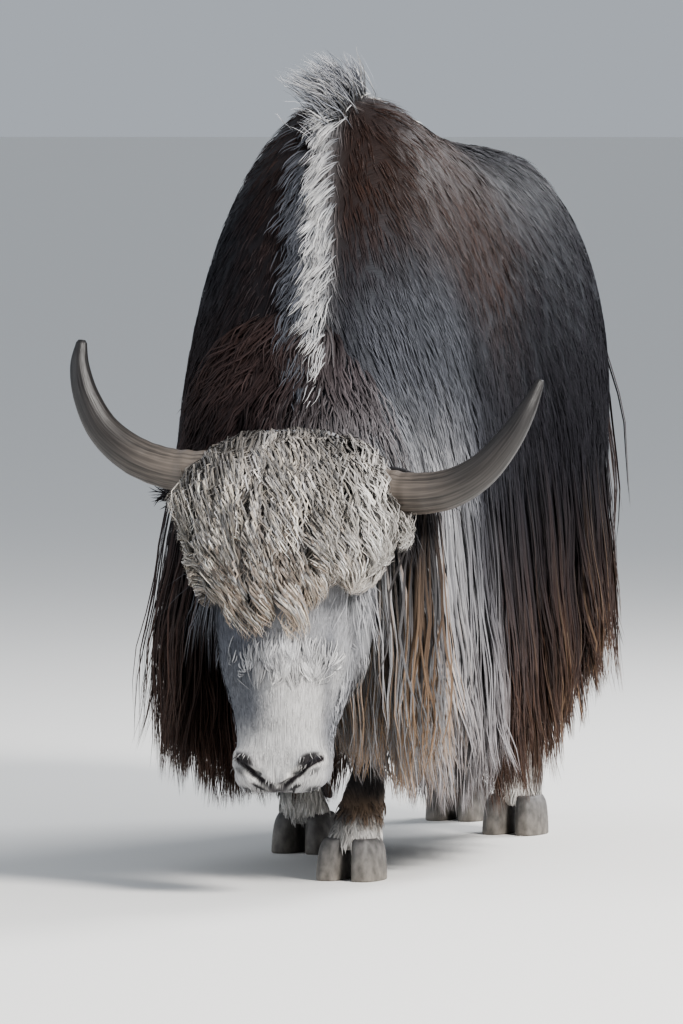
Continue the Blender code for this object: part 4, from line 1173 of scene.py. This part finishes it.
# %% Skirts on both sides
def skirt(part, side_name):
    """Hair from the side down to the hem, with about two waves a tuft."""
    low_y, high_y, number = SKIRT_PARTS[part]
    side = SIDES[side_name]
    weight = is_body * ramp(triangle_normal[:, 0] * side, 0.35, 0.75)
    weight = weight * (middle_y > low_y) * (middle_y <= high_y)
    weight = weight * ramp(middle_z, 0.94, 0.66) * ramp(middle_z, 0.44, 0.52)
    weight = weight * ramp(triangle_normal[:, 2], 0.40, 0.15)
    roots, normals = scatter(weight, number)
    hem = smooth(SKIRT_HEM[:, 0], SKIRT_HEM[:, 1], np.clip(roots[:, 1], -0.62, 1.0))[:, 0]
    top = ramp(roots[:, 2], 0.62, 0.90)
    free = (roots[:, 2] - hem) * drawn((0.90, 1.04), number) - top * drawn((0.0, 0.22), number)
    length = np.clip(free, 0.12, 0.66)
    lie = along_skin((0, 0.12, -1), normals, 0.06) * (0.6, 0.8, 1.0)
    outward, backward = side * drawn((-0.02, 0.12), number), drawn((-0.12, 0.16), number)
    sway = np.column_stack([outward, backward, np.full(number, -1.0)])
    lift = normals * (0.13 - 0.07 * top)[:, None]
    colours = marking(roots)
    ends = hair_ends(roots, side, part, colours)
    tufts(f"skirt_{part}_{side_name}", roots, normals, lie + lift, sway, length,
          (0.0036, 0.0064), 9, colours, ends, LONG_HAIR,
          wave=((0.008, 0.022), length / drawn((1.5, 2.4), number)), curl=0.5, grow=1.6,
          clump=(0.78, 0.08), late=2.2, fullest=0.6, shade=0.8, tone=0.10, thick=0.35, fade=2.4)


for part in SKIRT_PARTS:
    for side_name in SIDES:
        skirt(part, side_name)

# %% Fringe under the belly
under = is_body * ramp(triangle_normal[:, 2], -0.35, -0.8) * (middle_z < 0.62) * (middle_y > -0.5)
roots, normals = scatter(under, 700)
colours = marking(roots)
tufts("belly_fringe", roots, normals, normals + DOWN, np.tile(DOWN, (700, 1)), (0.10, 0.24),
      (0.005, 0.008), 6, colours, over(colours * 1.3, RUST_TIPS, 0.5), LONG_HAIR,
      wave=((0.003, 0.007), 0.08), curl=0.6, clump=(0.7, 0.16), shade=0.45)

# %% [markdown]
# ### Mane, hump and neck
# A silver stripe of stiff hair stands along the crest, from a tuft on the hump down to the neck,
# with some dark grey hair on its right. Behind the tuft, white hair lies along the spine. Lower
# down, brown wavy hair falls forwards over the back of the head. Each kind has its own lie, length
# and stiffness, so each is a piece of its own. How upright it stands is how much of the skin's
# normal is in its first direction.


# %% Mane
def beside_crest(points):
    """How far a point lies to the left of the mane's line."""
    return points[:, 0] - np.interp(-points[:, 1], -CREST[:, 1], CREST[:, 0])


MANE = 1500
right_of_mane = bell(beside_crest(triangle_middle) + 0.035, 0.022) * bell(middle_y + 0.46, 0.10)
weight = bell(crest_distance(triangle_middle), 0.015) + 0.7 * right_of_mane
weight = weight * (middle_y < -0.22) * ramp(middle_y, -0.645, -0.60)
roots, normals = scatter(is_body * weight * (middle_z > 0.85), MANE)
lie = along_skin((-0.30, -0.1, -1), normals, 0.22)
bright = ramp(beside_crest(roots), -0.026, -0.006)
colours = over(STEEL_SHEEN_AND_MANE_GREY, (0.30, 0.31, 0.34), bright)
rise = drawn((0.35, 0.8), MANE)[:, None]
tufts("mane", roots, normals, lie + normals * rise, lie - normals * 0.1, (0.045, 0.085),
      (0.002, 0.0036), 4, colours * 0.6, over(colours * 1.3, WHITE_HAIR, 0.75 * bright), SOFT_HAIR,
      wave=(0.002, 0.06), clump=(0.6, 0.10))

# %% Tuft on the hump
HUMP = 1000
hump_gap = np.hypot(middle_x + 0.010, (middle_y + 0.215) * 0.55)
roots, normals = scatter(is_body * bell(hump_gap, 0.028) * (middle_z > 1.3), HUMP)
lie = along_skin((-0.5, -0.3, 0), normals, 0.9)
tuft_grey = over((0.17, 0.18, 0.21), WHITE_HAIR, drawn((0.0, 0.6), HUMP))
tufts("hump_tuft", roots, normals, lie * 0.35 + normals, lie + normals * 0.6, (0.045, 0.118),
      (0.0016, 0.0028), 5, tuft_grey * 0.6, tuft_grey * 1.3, SOFT_HAIR,
      wave=((0.003, 0.007), 0.07), clump=(0.45, 0.06))

# %% White hair behind the hump
SPINE = 900
ridge_top = is_body * bell(middle_x - 0.012, 0.016) * bell(middle_y + 0.03, 0.10)
roots, normals = scatter(ridge_top * (middle_z > 1.34), SPINE)
lie = along_skin((0.15, 1.0, -0.2), normals, 0.12)
colours = np.tile(WHITE_HAIR, (SPINE, 1))
tufts("spine_hair", roots, normals, lie + normals * 0.45, lie - normals * 0.1, (0.030, 0.055),
      (0.0016, 0.0028), 3, colours * 0.7, colours, SOFT_HAIR, clump=(0.4, 0.10), shade=0.8)

# %% Wavy hair between mane and forelock
NAPE = 1500
nape = is_body * (middle_y < -0.54) * ramp(middle_z, 0.76, 0.90)
roots, normals = scatter(nape * ramp(triangle_normal[:, 2], -0.1, 0.3), NAPE)
away = np.clip((roots[:, 0] - 0.07) * 6, -0.9, 0.9)
forwards = np.column_stack([away, np.full(NAPE, -0.4), np.full(NAPE, -0.8)])
lie = along_skin(forwards, normals, 0.30)
colours = over(marking(roots), BROWN_COAT, 0.5)
tufts("nape", roots, normals, lie + normals * 0.35, lie + DOWN * 0.3 - normals * 0.1, (0.07, 0.13),
      (0.003, 0.005), 6, colours, colours * 1.7, SLEEK_HAIR,
      wave=((0.002, 0.005), 0.06), curl=0.6, clump=(0.6, 0.12))

# %% [markdown]
# ### The forelock
# The forelock is what one sees first: a thick mop of wavy silver hair, parted near the middle,
# that covers forehead, eyes and the roots of the horns. One lumpy shell would be lighter, but the
# shadows between the locks make the wool. Each tuft starts on the poll or the forehead and is
# given a place to end, on a hem that was measured across the head. Hair from the crown spreads
# sideways most. The last direction follows from the first and from the way to the end, by the
# same formula as above.

# %% Where each lock of the forelock ends
FORELOCK = 3400
FORELOCK_HEM = np.array([
    # across the head, how far down the face the hair reaches
    (-0.225, 0.040), (-0.195, 0.130), (-0.140, 0.260), (-0.097, 0.305), (-0.030, 0.348),
    (0.040, 0.330), (0.089, 0.290), (0.130, 0.250), (0.172, 0.215), (0.225, 0.180),
    (0.265, 0.105), (0.280, 0.030),
])
PARTING = 0.035
forehead = is_head * (in_out > -0.07) * ramp(in_down, 0.24, 0.16)
roots, normals = scatter(forehead * ramp(np.abs(in_across), 0.160, 0.135), FORELOCK)
across, _, down = head_place(roots).T
crown = ramp(down, 0.12, -0.04)
fan = np.where(across > PARTING, 1.05, 0.60)
spread_out = 1.02 + fan * crown * drawn((0.6, 1.1), FORELOCK)
aim = PARTING + (across - PARTING) * spread_out + rng.normal(0, 0.012, FORELOCK)
aim = np.clip(aim, FORELOCK_HEM[0, 0], FORELOCK_HEM[-1, 0])
hem = np.interp(aim, FORELOCK_HEM[:, 0], FORELOCK_HEM[:, 1])
by_root, by_hem = drawn((0.13, 0.26), FORELOCK), drawn((0.88, 1.02), FORELOCK)
reach = np.minimum(down + by_root, hem * by_hem)
print("the forelock reaches", round(float(reach.max()), 3), "m down the face")

# %% Forelock
sideways = np.maximum(np.abs(aim - 0.02) - 0.11, 0)
way = on_head(aim, 0.118 - 0.50 * sideways - 0.03 * ramp(reach, 0.2, 0.33), reach) - roots
length = np.maximum(np.linalg.norm(way, axis=1), 0.05) * 1.08
first = unit(unit(way) + normals * 0.85)
last = 2 * way / length[:, None] - first
# painted shade: the forelock's roots are dark, for the shade between its locks
colours = np.tile((0.13, 0.12, 0.115), (FORELOCK, 1))
ends = over(CREAM, SILVER, drawn((0.0, 0.9), FORELOCK))
# painted highlight: the ends on the animal's left are whiter, on the side where the light falls
ends = over(ends, WHITE_HAIR, 0.7 * ramp(aim, 0.08, 0.20))
tawny = 0.8 * ramp(reach, 0.20, 0.31) * (rng.random(FORELOCK) < 0.6)
ends = over(ends, (0.27, 0.20, 0.145), tawny)
tufts("forelock", roots, normals, first, last, length, (0.0026, 0.0048), 10, colours, ends,
      LONG_HAIR, round_head, "face", wave=((0.010, 0.017), (0.060, 0.084)), curl=1.0, grow=0.6,
      clump=(0.84, 0.030), late=1.2, fullest=0.5, shade=0.35, tone=0.27, thick=0.5)

# %% [markdown]
# ### Face and jaw
# The face has the shortest hair, about a centimetre long, so most of it is bump, with small
# tufts that break its outline. It keeps clear of nose and lips, and also of the places just above
# them, so that no tuft falls over a nostril. Longer hair stands in a patch below the forelock,
# and on the cheeks and under the jaw.

# %% Short hair of the face
FACE = 9000
clear_of_bare = [1 - bare_share(triangle_middle + DOWN_FACE * gap) for gap in (0.0, 0.007, 0.013)]
hairy = np.prod(clear_of_bare, axis=0)
face_skin = is_head * (in_down > 0.12) * (in_down < 0.60) * hairy * (in_out > -0.10)
roots, normals = scatter(face_skin, FACE)
lie = along_skin(DOWN_FACE, normals, 0.20)
colours = marking(roots)
to_muzzle = ramp(head_place(roots)[:, 2], 0.35, 0.55)
length = drawn((0.009, 0.016), FACE) * (1.2 - 0.5 * to_muzzle)
tufts("face_hair", roots, normals, lie + normals * 0.12, lie - normals * 0.08, length,
      (0.0012, 0.0022), 2, colours, colours * 1.1, SOFT_HAIR, round_head, "face",
      shade=1.0, tone=0.05, thick=0.3)

# %% Patch below the forelock
RIDGE = 1000
ridge = is_head * (in_out > 0.02) * bell(in_down - 0.345, 0.024) * bell(in_across - 0.015, 0.055)
roots, normals = scatter(ridge, RIDGE)
lie = along_skin(DOWN_FACE, normals, 0.25)
colours = over(marking(roots), WHITE_HAIR, 0.2)
tufts("ridge_hair", roots, normals, lie + normals * 0.38, lie - normals * 0.25, (0.030, 0.056),
      (0.0016, 0.0026), 4, colours, colours * 1.15, SOFT_HAIR, round_head, "face",
      wave=(0.0015, 0.04), clump=(0.75, 0.035), shade=0.8, thick=0.4)

# %% Cheeks and jaw
JAW = 3000
cheek = is_head * ramp(in_out, 0.03, -0.03) * (in_down > 0.03) * ramp(in_down, 0.58, 0.46) * hairy
roots, normals = scatter(cheek, JAW)
lie = along_skin(DOWN_FACE - 0.35 * OUT_OF_FACE, normals, 0.18)
colours = marking(roots)
length = drawn((0.024, 0.045), JAW) * (1.3 - 0.9 * ramp(head_place(roots)[:, 2], 0.2, 0.5))
tufts("jaw_hair", roots, normals, lie + normals * 0.50, lie * 0.8 + DOWN * 0.3, length,
      (0.0024, 0.004), 3, colours, over(colours * 1.3, SILVER, 0.25), SOFT_HAIR, round_head, "face",
      wave=(0.001, 0.04), clump=(0.4, 0.12), shade=0.8)

# %% [markdown]
# ### Throat fringe
# Long hair hangs under neck and brisket, made as the skirts are. On the left side half of its ends
# are silver and half tan, and on the right side they are red-brown. More of it grows on the left,
# where the photo looks in behind the head.

# %% Throat fringe
THROAT = 1900
low_neck = is_body * (middle_y < -0.36) * ramp(middle_z, 0.92, 0.70)
low_neck = low_neck * ramp(triangle_normal[:, 2], 0.45, 0.05)
not_sideways = (middle_y < -0.50) | (np.abs(triangle_normal[:, 0]) < 0.8)
low_neck = low_neck * not_sideways * (middle_y > -0.61)
left_more = 1 + 2.5 * ramp(middle_x, 0.10, 0.18)
roots, normals = scatter(low_neck * ramp(middle_z, 0.52, 0.66) * left_more, THROAT)
hem = 0.17 + 0.15 * bell(roots[:, 0] - 0.06, 0.10)
length = np.clip((roots[:, 2] - hem) * drawn((0.80, 1.02), THROAT), 0.12, 0.60)
lie = along_skin(DOWN, normals, 0.12)
colours = marking(roots)
bright = ramp(roots[:, 0], 0.0, 0.13) * drawn((0.5, 1.0), THROAT)
ends = over(colours * 1.5, RUST_TIPS, 0.6)
ends = over(ends, np.where(rng.random((THROAT, 1)) < 0.5, TAN, SILVER), bright)
sway = np.column_stack([drawn((-0.10, 0.14), THROAT), np.zeros(THROAT), -np.ones(THROAT)])
tufts("throat_fringe", roots, normals, lie + normals * 0.15, sway + normals * 0.05, length,
      (0.0034, 0.0060), 8, colours, ends, LONG_HAIR, curl=0.6, grow=1.2, clump=(0.66, 0.10),
      wave=((0.006, 0.016), length / drawn((1.6, 2.6), THROAT)),
      fullest=0.5, shade=0.8, thick=0.35)

# %% [markdown]
# ### Legs, tail and ears
# The shanks carry short hair that points down, made as the sleek coat is. Round the fetlocks it is
# longer and falls over the hooves. The tail is a brush of long locks that starts high on it, and
# the ears have a loose fringe that points outwards.

# %% Shanks
SHANK = 4200
roots, normals = scatter(is_leg * (middle_z > 0.085), SHANK)
lie = along_skin((0, 0.1, -1), normals, 0.15)
colours = marking(roots)
length = drawn((0.012, 0.020), SHANK) * (1 + 1.5 * ramp(roots[:, 2], 0.25, 0.42))
tufts("shank_hair", roots, normals, lie + normals * 0.18, lie - normals * 0.1, length,
      (0.0018, 0.003), 2, colours, colours * 1.3, SLEEK_HAIR, round_legs, "grey_coat", tone=0.12)

# %% Fetlocks
FETLOCK = 1500
roots, normals = scatter(is_leg * (middle_z < 0.15) * (middle_z > 0.07), FETLOCK)
lie = along_skin((0, 0.15, -1), normals, 0.22)
colours = marking(roots)
length = drawn((0.018, 0.032), FETLOCK)
whitish = ramp(roots[:, 2], 0.12, 0.09) * drawn((0.0, 0.7), FETLOCK)
tufts("fetlock_hair", roots, normals, lie + normals * 0.40, lie + DOWN * 0.3 - normals * 0.1,
      length, (0.0022, 0.0038), 3, colours, over(colours * 1.3, WHITE_HAIR, whitish), SOFT_HAIR,
      round_legs, "grey_coat", wave=(0.001, 0.03), clump=(0.4, 0.15), shade=0.8)

# %% Tail brush
BRUSH = 1500
dense_below = 1 + 2 * ramp(middle_z, 0.8, 0.65)
roots, normals = scatter(is_tail * ramp(middle_z, 1.16, 1.0) * dense_below, BRUSH)
free = (roots[:, 2] - drawn((0.25, 0.50), BRUSH)) * drawn((0.6, 1.0), BRUSH)
length = np.clip(free, 0.12, 0.55)
lie = along_skin(DOWN, normals, 0.1)
outward = unit(normals * np.array([1.0, 0.6, 0.0]) + 1e-6)
colours = marking(roots)
sway = DOWN + outward * drawn((-0.06, 0.02), BRUSH)[:, None]
tufts("tail_brush", roots, normals, lie + outward * 0.15, sway, length, (0.005, 0.008), 8, colours,
      over(colours * 1.5, RUST_TIPS, 0.6), SOFT_HAIR, round_tail, curl=0.6, clump=(0.7, 0.16),
      wave=((0.003, 0.008), length / drawn((2.0, 3.0), BRUSH)), fullest=0.45, shade=0.45)

# %% Ear hair
EAR = 600
roots, normals = scatter(is_ear.astype(float), EAR)
outward = np.sign(head_place(roots)[:, :1]) * ACROSS
lie = along_skin(outward, normals, 0.3)
colours = marking(roots)
tufts("ear_hair", roots, normals, lie + normals * 0.4, lie + DOWN * 0.3, (0.020, 0.045),
      (0.0025, 0.004), 3, colours, colours * 1.8, SOFT_HAIR, round_head, clump=(0.3, 0.15))

# %% [markdown]
# ## Horns
# The horns leave the skull sideways and sweep up, thick at the root, with low growth rings near it
# and a worn tip. A curve with a bevel would give a plain tube. Rings along a measured line also
# carry the growth rings, and a map along and around the horn, which colour and streaks follow.

# %% Lines of the horns
HORN_STATIONS = {
    # across, out of the face, down the face, thickness
    "left": np.array([
        (0.090, 0.000, 0.004, 0.0430), (0.165, 0.004, 0.026, 0.0420), (0.230, 0.012, 0.032, 0.0395),
        (0.302, 0.026, 0.022, 0.0370), (0.362, 0.040, -0.012, 0.0315), (0.408, 0.050, -0.068, 0.0250),
        (0.438, 0.052, -0.126, 0.0175), (0.459, 0.048, -0.186, 0.0075),
    ]),
    "right": np.array([
        (0.090, 0.000, 0.004, 0.0430), (0.165, -0.004, 0.012, 0.0410), (0.236, -0.006, 0.008, 0.0385),
        (0.302, 0.002, -0.012, 0.0360), (0.358, 0.014, -0.052, 0.0310), (0.394, 0.026, -0.108, 0.0250),
        (0.412, 0.034, -0.165, 0.0185), (0.413, 0.036, -0.215, 0.0095),
    ]),
}
HORN_ROLL = math.radians(4)
HORN_ROWS, HORN_AROUND = 140, 48


# %% Finish of the horns
def horn_finish():
    """Grey-brown keratin: long streaks from a stretched noise, paler root, dark tip."""
    made, tree, shader = shader_of("keratin")
    along = split_into(tree, on_map(tree, "horn_map", (1.0, 1.0)), "Y")
    shades = colour_steps(
        tree, along, (0.0, (0.190, 0.162, 0.138)), (0.28, (0.110, 0.093, 0.080)),
        (0.50, (0.042, 0.037, 0.034)), (0.78, (0.020, 0.018, 0.018)), (1.0, (0.016, 0.015, 0.015)))
    streaks = on_map(tree, "horn_map", (16.0, 2.6))
    colour, height = lit_by_noise(tree, shades, streaks, 1.6, 0.35, 1.65, 7.0)
    tree.links.new(colour, shader.inputs["Base Color"])
    bumped(tree, shader, height, 0.35, 0.004)
    shader.inputs["Roughness"].default_value = 0.42
    return made


KERATIN = horn_finish()
print("finish of the horns:", KERATIN.name)


# %% Horns
def horn(side_name):
    """Round rings along the line; radius times 1 + a * sin of the growth, fading along the horn."""
    side, table = SIDES[side_name], HORN_STATIONS[side_name]
    step = np.linspace(0, len(table) - 1, HORN_ROWS)
    across, out, down, thick = smooth(range(len(table)), table, step).T
    level, tilt = math.cos(HORN_ROLL), math.sin(HORN_ROLL)
    spine = on_head(side * across * level - down * tilt, out, down * level + side * across * tilt)
    u = step / step[-1]
    growth = 1 + (0.022 * np.sin(u * 95) + 0.012 * np.sin(u * 61 + 1)) * ramp(u, 0.55, 0.1)
    growth = growth - 0.25 * ramp(u, 0.985, 1.0)
    radius = thick * growth * 0.985
    rings = sweep(spine, radius, radius, radius, HORN_AROUND, OUT_OF_FACE)
    piece = closed_piece(f"horn_{side_name}_piece", rings)
    around = np.abs(np.linspace(-1, 1, HORN_AROUND, endpoint=False))
    places = np.stack(np.broadcast_arrays(around[None, :], u[:, None]), axis=-1).reshape(-1, 2)
    give_map(piece, "horn_map", np.concatenate([places, [(0.5, 0.0), (0.5, 1.0)]]))
    hand_over(piece, "horn", KERATIN, "horn_" + side_name)


for side_name in SIDES:
    horn(side_name)
print("two horns")

# %% [markdown]
# ## Hooves
# A yak walks on two claws a foot, with two small dewclaws behind. Each claw is a wall that leans
# forwards to the toe and stands on a flat sole. It could be cut from a block, but rings from the
# sole up give wall, rounded edge and growth lines in one go.


# %% Finish of the hooves
def hoof_finish():
    """Grey horn, cloudy from a noise, and paler and browner towards the sole."""
    made, tree, shader = shader_of("hoof_horn")
    place = tree.nodes.new("ShaderNodeTexCoord").outputs["Object"]
    stretch = node(tree, "ShaderNodeMapping")
    stretch.inputs["Scale"].default_value = (1.6, 1.6, 1.0)
    tree.links.new(place, stretch.inputs["Vector"])
    span = node(tree, "ShaderNodeMapRange")
    span.inputs["From Max"].default_value = 0.08
    tree.links.new(split_into(tree, place, "Z"), span.inputs["Value"])
    shades = colour_steps(
        tree, span.outputs["Result"], (0.0, (0.165, 0.150, 0.132)), (1.0, (0.105, 0.102, 0.102)))
    colour, height = lit_by_noise(tree, shades, stretch.outputs["Vector"], 45.0, 0.6, 1.4, 6.0)
    tree.links.new(colour, shader.inputs["Base Color"])
    bumped(tree, shader, height, 0.5, 0.002)
    shader.inputs["Roughness"].default_value = 0.58
    return made


HOOF_HORN = hoof_finish()
print("finish of the hooves:", HOOF_HORN.name)

# %% Claws
CLAW_STATIONS = np.array([
    # height, ahead of the middle, width, behind it
    (0.000, 0.064, 0.059, 0.045),
    (0.035, 0.060, 0.057, 0.047),
    (0.066, 0.052, 0.052, 0.046),
    (HOOF_TOP, 0.044, 0.046, 0.041),
])
CLAW_SPLIT, CLAW_OPENING = 0.0045, 0.007


def claw(leg_name, half_name, outward):
    """Rings from the sole up: a rounded half oval. Its inner wall leaves the middle of the foot by
    split + opening * (share of the way to the toe)^1.5."""
    foot_x, foot_y = FEET[leg_name]
    z = np.concatenate([[0.0, 0.0008, 0.003], np.linspace(0.007, HOOF_TOP - 0.002, 22), [HOOF_TOP]])
    ahead, width, behind = smooth(CLAW_STATIONS[:, 0], CLAW_STATIONS[:, 1:], z).T[..., None]
    edge = np.concatenate([[0.94, 0.975, 0.995], np.ones(22), [0.93]])
    edge = (edge * (1 + 0.004 * np.sin(z * 620)))[:, None]
    turn = np.linspace(0, 2 * math.pi, 44, endpoint=False)
    x = signed_power(np.cos(turn), np.where(np.cos(turn) > 0, 0.9, 0.5))
    y = signed_power(np.sin(turn), 0.9)
    local_y = y * np.where(y < 0, ahead, behind) * edge
    inner = CLAW_SPLIT + CLAW_OPENING * np.clip(-local_y / ahead, 0, 1) ** 1.5
    local_x = inner + (CLAW_SPLIT + width - inner) / 2 * (1 + x * edge)
    level = np.broadcast_to(z[:, None], local_x.shape)
    rings = np.stack([foot_x + outward * local_x, foot_y + local_y, level], axis=-1)
    name = f"hoof_{leg_name.replace('leg', '')}_{half_name}"
    hand_over(closed_piece(name + "_piece", rings), "hoof", HOOF_HORN, name)


# %% Dewclaws
def dewclaws(leg_name):
    """Two blunt pegs behind the fetlock: an ellipse whose radius falls to the tip."""
    foot_x, foot_y = FEET[leg_name]
    t = np.linspace(0, 1, 14)
    radius = 0.013 * np.sqrt(np.maximum(1 - t**2.4, 0.02))
    pegs = []
    for outward in (-1, 1):
        base = np.array([foot_x + outward * 0.022, foot_y + 0.020, 0.135])
        spine = base + t[:, None] * np.array([outward * 0.006, 0.040, -0.034])
        pegs.append(closed_piece("peg", sweep(spine, radius, radius * 0.8, radius * 0.8, 16)))
    piece = union(pegs[0], [pegs[1]])
    piece.name = f"dewclaws_{leg_name}"
    hand_over(piece, "hoof", HOOF_HORN)


for leg_name in FEET:
    outer = SIDES[leg_name.split("_")[1]]
    claw(leg_name, "outer", outer)
    claw(leg_name, "inner", -outer)
    dewclaws(leg_name)
print("eight claws and eight dewclaws")

# %% [markdown]
# ## Eyes
# A yak's eye is dark brown with a level, slot-like pupil. A plain ball would do under so much hair,
# but the slight bulge of the cornea is what catches the light. A map holds how far each point is
# from where the eye looks, and the colours follow it.


# %% Finish of the eyes
def eye_finish():
    """Pupil, iris and dark white by distance on the map, stretched sideways for the slot."""
    made, tree, shader = shader_of("wet_eye")
    far = tree.nodes.new("ShaderNodeVectorMath")
    far.operation = "LENGTH"
    tree.links.new(on_map(tree, "gaze", (0.75, 1.25)), far.inputs[0])
    shades = colour_steps(
        tree, far.outputs["Value"], (0.0, (0.002, 0.002, 0.003)), (0.22, (0.002, 0.002, 0.003)),
        (0.28, (0.030, 0.014, 0.007)), (0.62, (0.045, 0.022, 0.010)), (0.70, (0.006, 0.004, 0.004)),
        (1.0, (0.035, 0.025, 0.022)))
    tree.links.new(shades, shader.inputs["Base Color"])
    shader.inputs["Roughness"].default_value = 0.06
    shader.inputs["Coat Weight"].default_value = 0.6
    return made


WET_EYE = eye_finish()
print("finish of the eyes:", WET_EYE.name)


# %% Eyes
def eye(side_name):
    """A sphere whose radius grows by a bell round the direction of gaze."""
    side = SIDES[side_name]
    axes = head_axes(side)
    gaze = unit(axes[0] + 0.35 * axes[1])
    level = unit(np.cross(gaze, (0, 0, 1)))
    upright = np.cross(level, gaze)
    polar = np.linspace(0.03, math.pi - 0.03, 48)[:, None]
    turn = np.linspace(0, 2 * math.pi, 48, endpoint=False)[None]
    ahead = np.broadcast_to(np.cos(polar), (48, 48))
    places = np.stack([np.sin(polar) * np.cos(turn), np.sin(polar) * np.sin(turn)], axis=-1)
    direction = ahead[..., None] * gaze + places[..., :1] * level + places[..., 1:] * upright
    radius = EYE_RADIUS * (0.985 + 0.045 * bell(polar, 0.55))
    rings = eye_middle(side) + direction * radius[..., None]
    piece = closed_piece(f"eye_{side_name}_piece", rings)
    places[polar[:, 0] > math.pi / 2] = 2.0
    give_map(piece, "gaze", np.concatenate([places.reshape(-1, 2), [(0.0, 0.0), (2.0, 2.0)]]))
    hand_over(piece, "eye", WET_EYE, "eye_" + side_name)


for side_name in SIDES:
    eye(side_name)
print("two eyes")

# %% [markdown]
# ## Floor, light and camera
# A wide level floor, one large soft light from the front right, a weak one from the left, and one
# behind the animal for the edge of the hair. A wall behind the floor would hide the horizon, but
# also the animal from behind, so there is none. The camera stands fifteen and a half metres away,
# level with the animal's back, and looks down by less than three degrees, as in the photo.

# %% Floor
FLOOR_HALF = 1500.0


def floor_piece():
    """One level square, so wide that its far edge lies at the horizon from every side."""
    corners = FLOOR_HALF * np.array([(-1, -1, 0), (1, -1, 0), (1, 1, 0), (-1, 1, 0)])
    piece = mesh_piece("floor", corners, [(0, 1, 2, 3)])
    made, _, shader = shader_of("pale_floor")
    shader.inputs["Base Color"].default_value = (0.86, 0.85, 0.83, 1)
    shader.inputs["Roughness"].default_value = 0.9
    piece.data.materials.append(made)


floor_piece()
print("a level floor")

# %% Lights and sky
LIGHTS = (
    # name, place, what it points at, power in watts, side in metres, colour
    ("key", (6.2, -3.4, 5.4), (0, 0, 0.6), 1050, 2.2, (1.0, 0.97, 0.93)),
    ("fill", (-5.0, -4.0, 2.5), (0, 0, 0.7), 110, 4.0, (0.92, 0.96, 1.0)),
    ("rim", (2.5, 4.5, 4.5), (0, 0, 1.0), 360, 2.5, (1.0, 1.0, 1.0)),
)
SKY_COLOUR, SKY_STRENGTH = (0.84, 0.90, 0.98, 1), 0.46


def soft_light(name, place, target, power, size, colour):
    """A square light that faces its target."""
    lamp = bpy.data.lights.new(name, "AREA")
    lamp.energy, lamp.size, lamp.color = power, size, colour
    made = bpy.data.objects.new(name, lamp)
    made.location = place
    made.rotation_euler = (Vector(target) - Vector(place)).to_track_quat("-Z", "Y").to_euler()
    bpy.context.scene.collection.objects.link(made)


for light in LIGHTS:
    soft_light(*light)
world = bpy.data.worlds.new("studio")
world.use_nodes = True
background = world.node_tree.nodes["Background"]
background.inputs["Color"].default_value = SKY_COLOUR
background.inputs["Strength"].default_value = SKY_STRENGTH
bpy.context.scene.world = world
bpy.context.scene.view_settings.view_transform = "AgX"
bpy.context.scene.view_settings.look = "AgX - Medium High Contrast"
print(len(LIGHTS), "lights and a pale sky")

# %% Camera
PHOTO_HEIGHT = 1024
FOCAL, HORIZON = 8065, 130  # in pixels of the photo
AZIMUTH = math.radians(20)
PITCH = math.atan((PHOTO_HEIGHT / 2 - HORIZON) / FOCAL)
DISTANCE, CAMERA_HEIGHT, ASIDE = 15.5, 1.4, -0.081
SENSOR = 36.0
right = np.array([math.cos(AZIMUTH), math.sin(AZIMUTH), 0.0])
back = np.array([math.sin(AZIMUTH), -math.cos(AZIMUTH), 0.0])
lens = bpy.data.cameras.new("photo_camera")
lens.sensor_width, lens.lens = SENSOR, FOCAL / PHOTO_HEIGHT * SENSOR
lens.clip_end = 2 * FLOOR_HALF
camera = bpy.data.objects.new("photo_camera", lens)
camera.location = right * ASIDE + back * DISTANCE + np.array([0, 0, CAMERA_HEIGHT]) + SHIFT
camera.rotation_euler = Euler((math.pi / 2 - PITCH, 0, AZIMUTH), "XYZ")
bpy.context.scene.collection.objects.link(camera)
bpy.context.scene.camera = camera
print("camera at", tuple(round(v, 3) for v in camera.location))
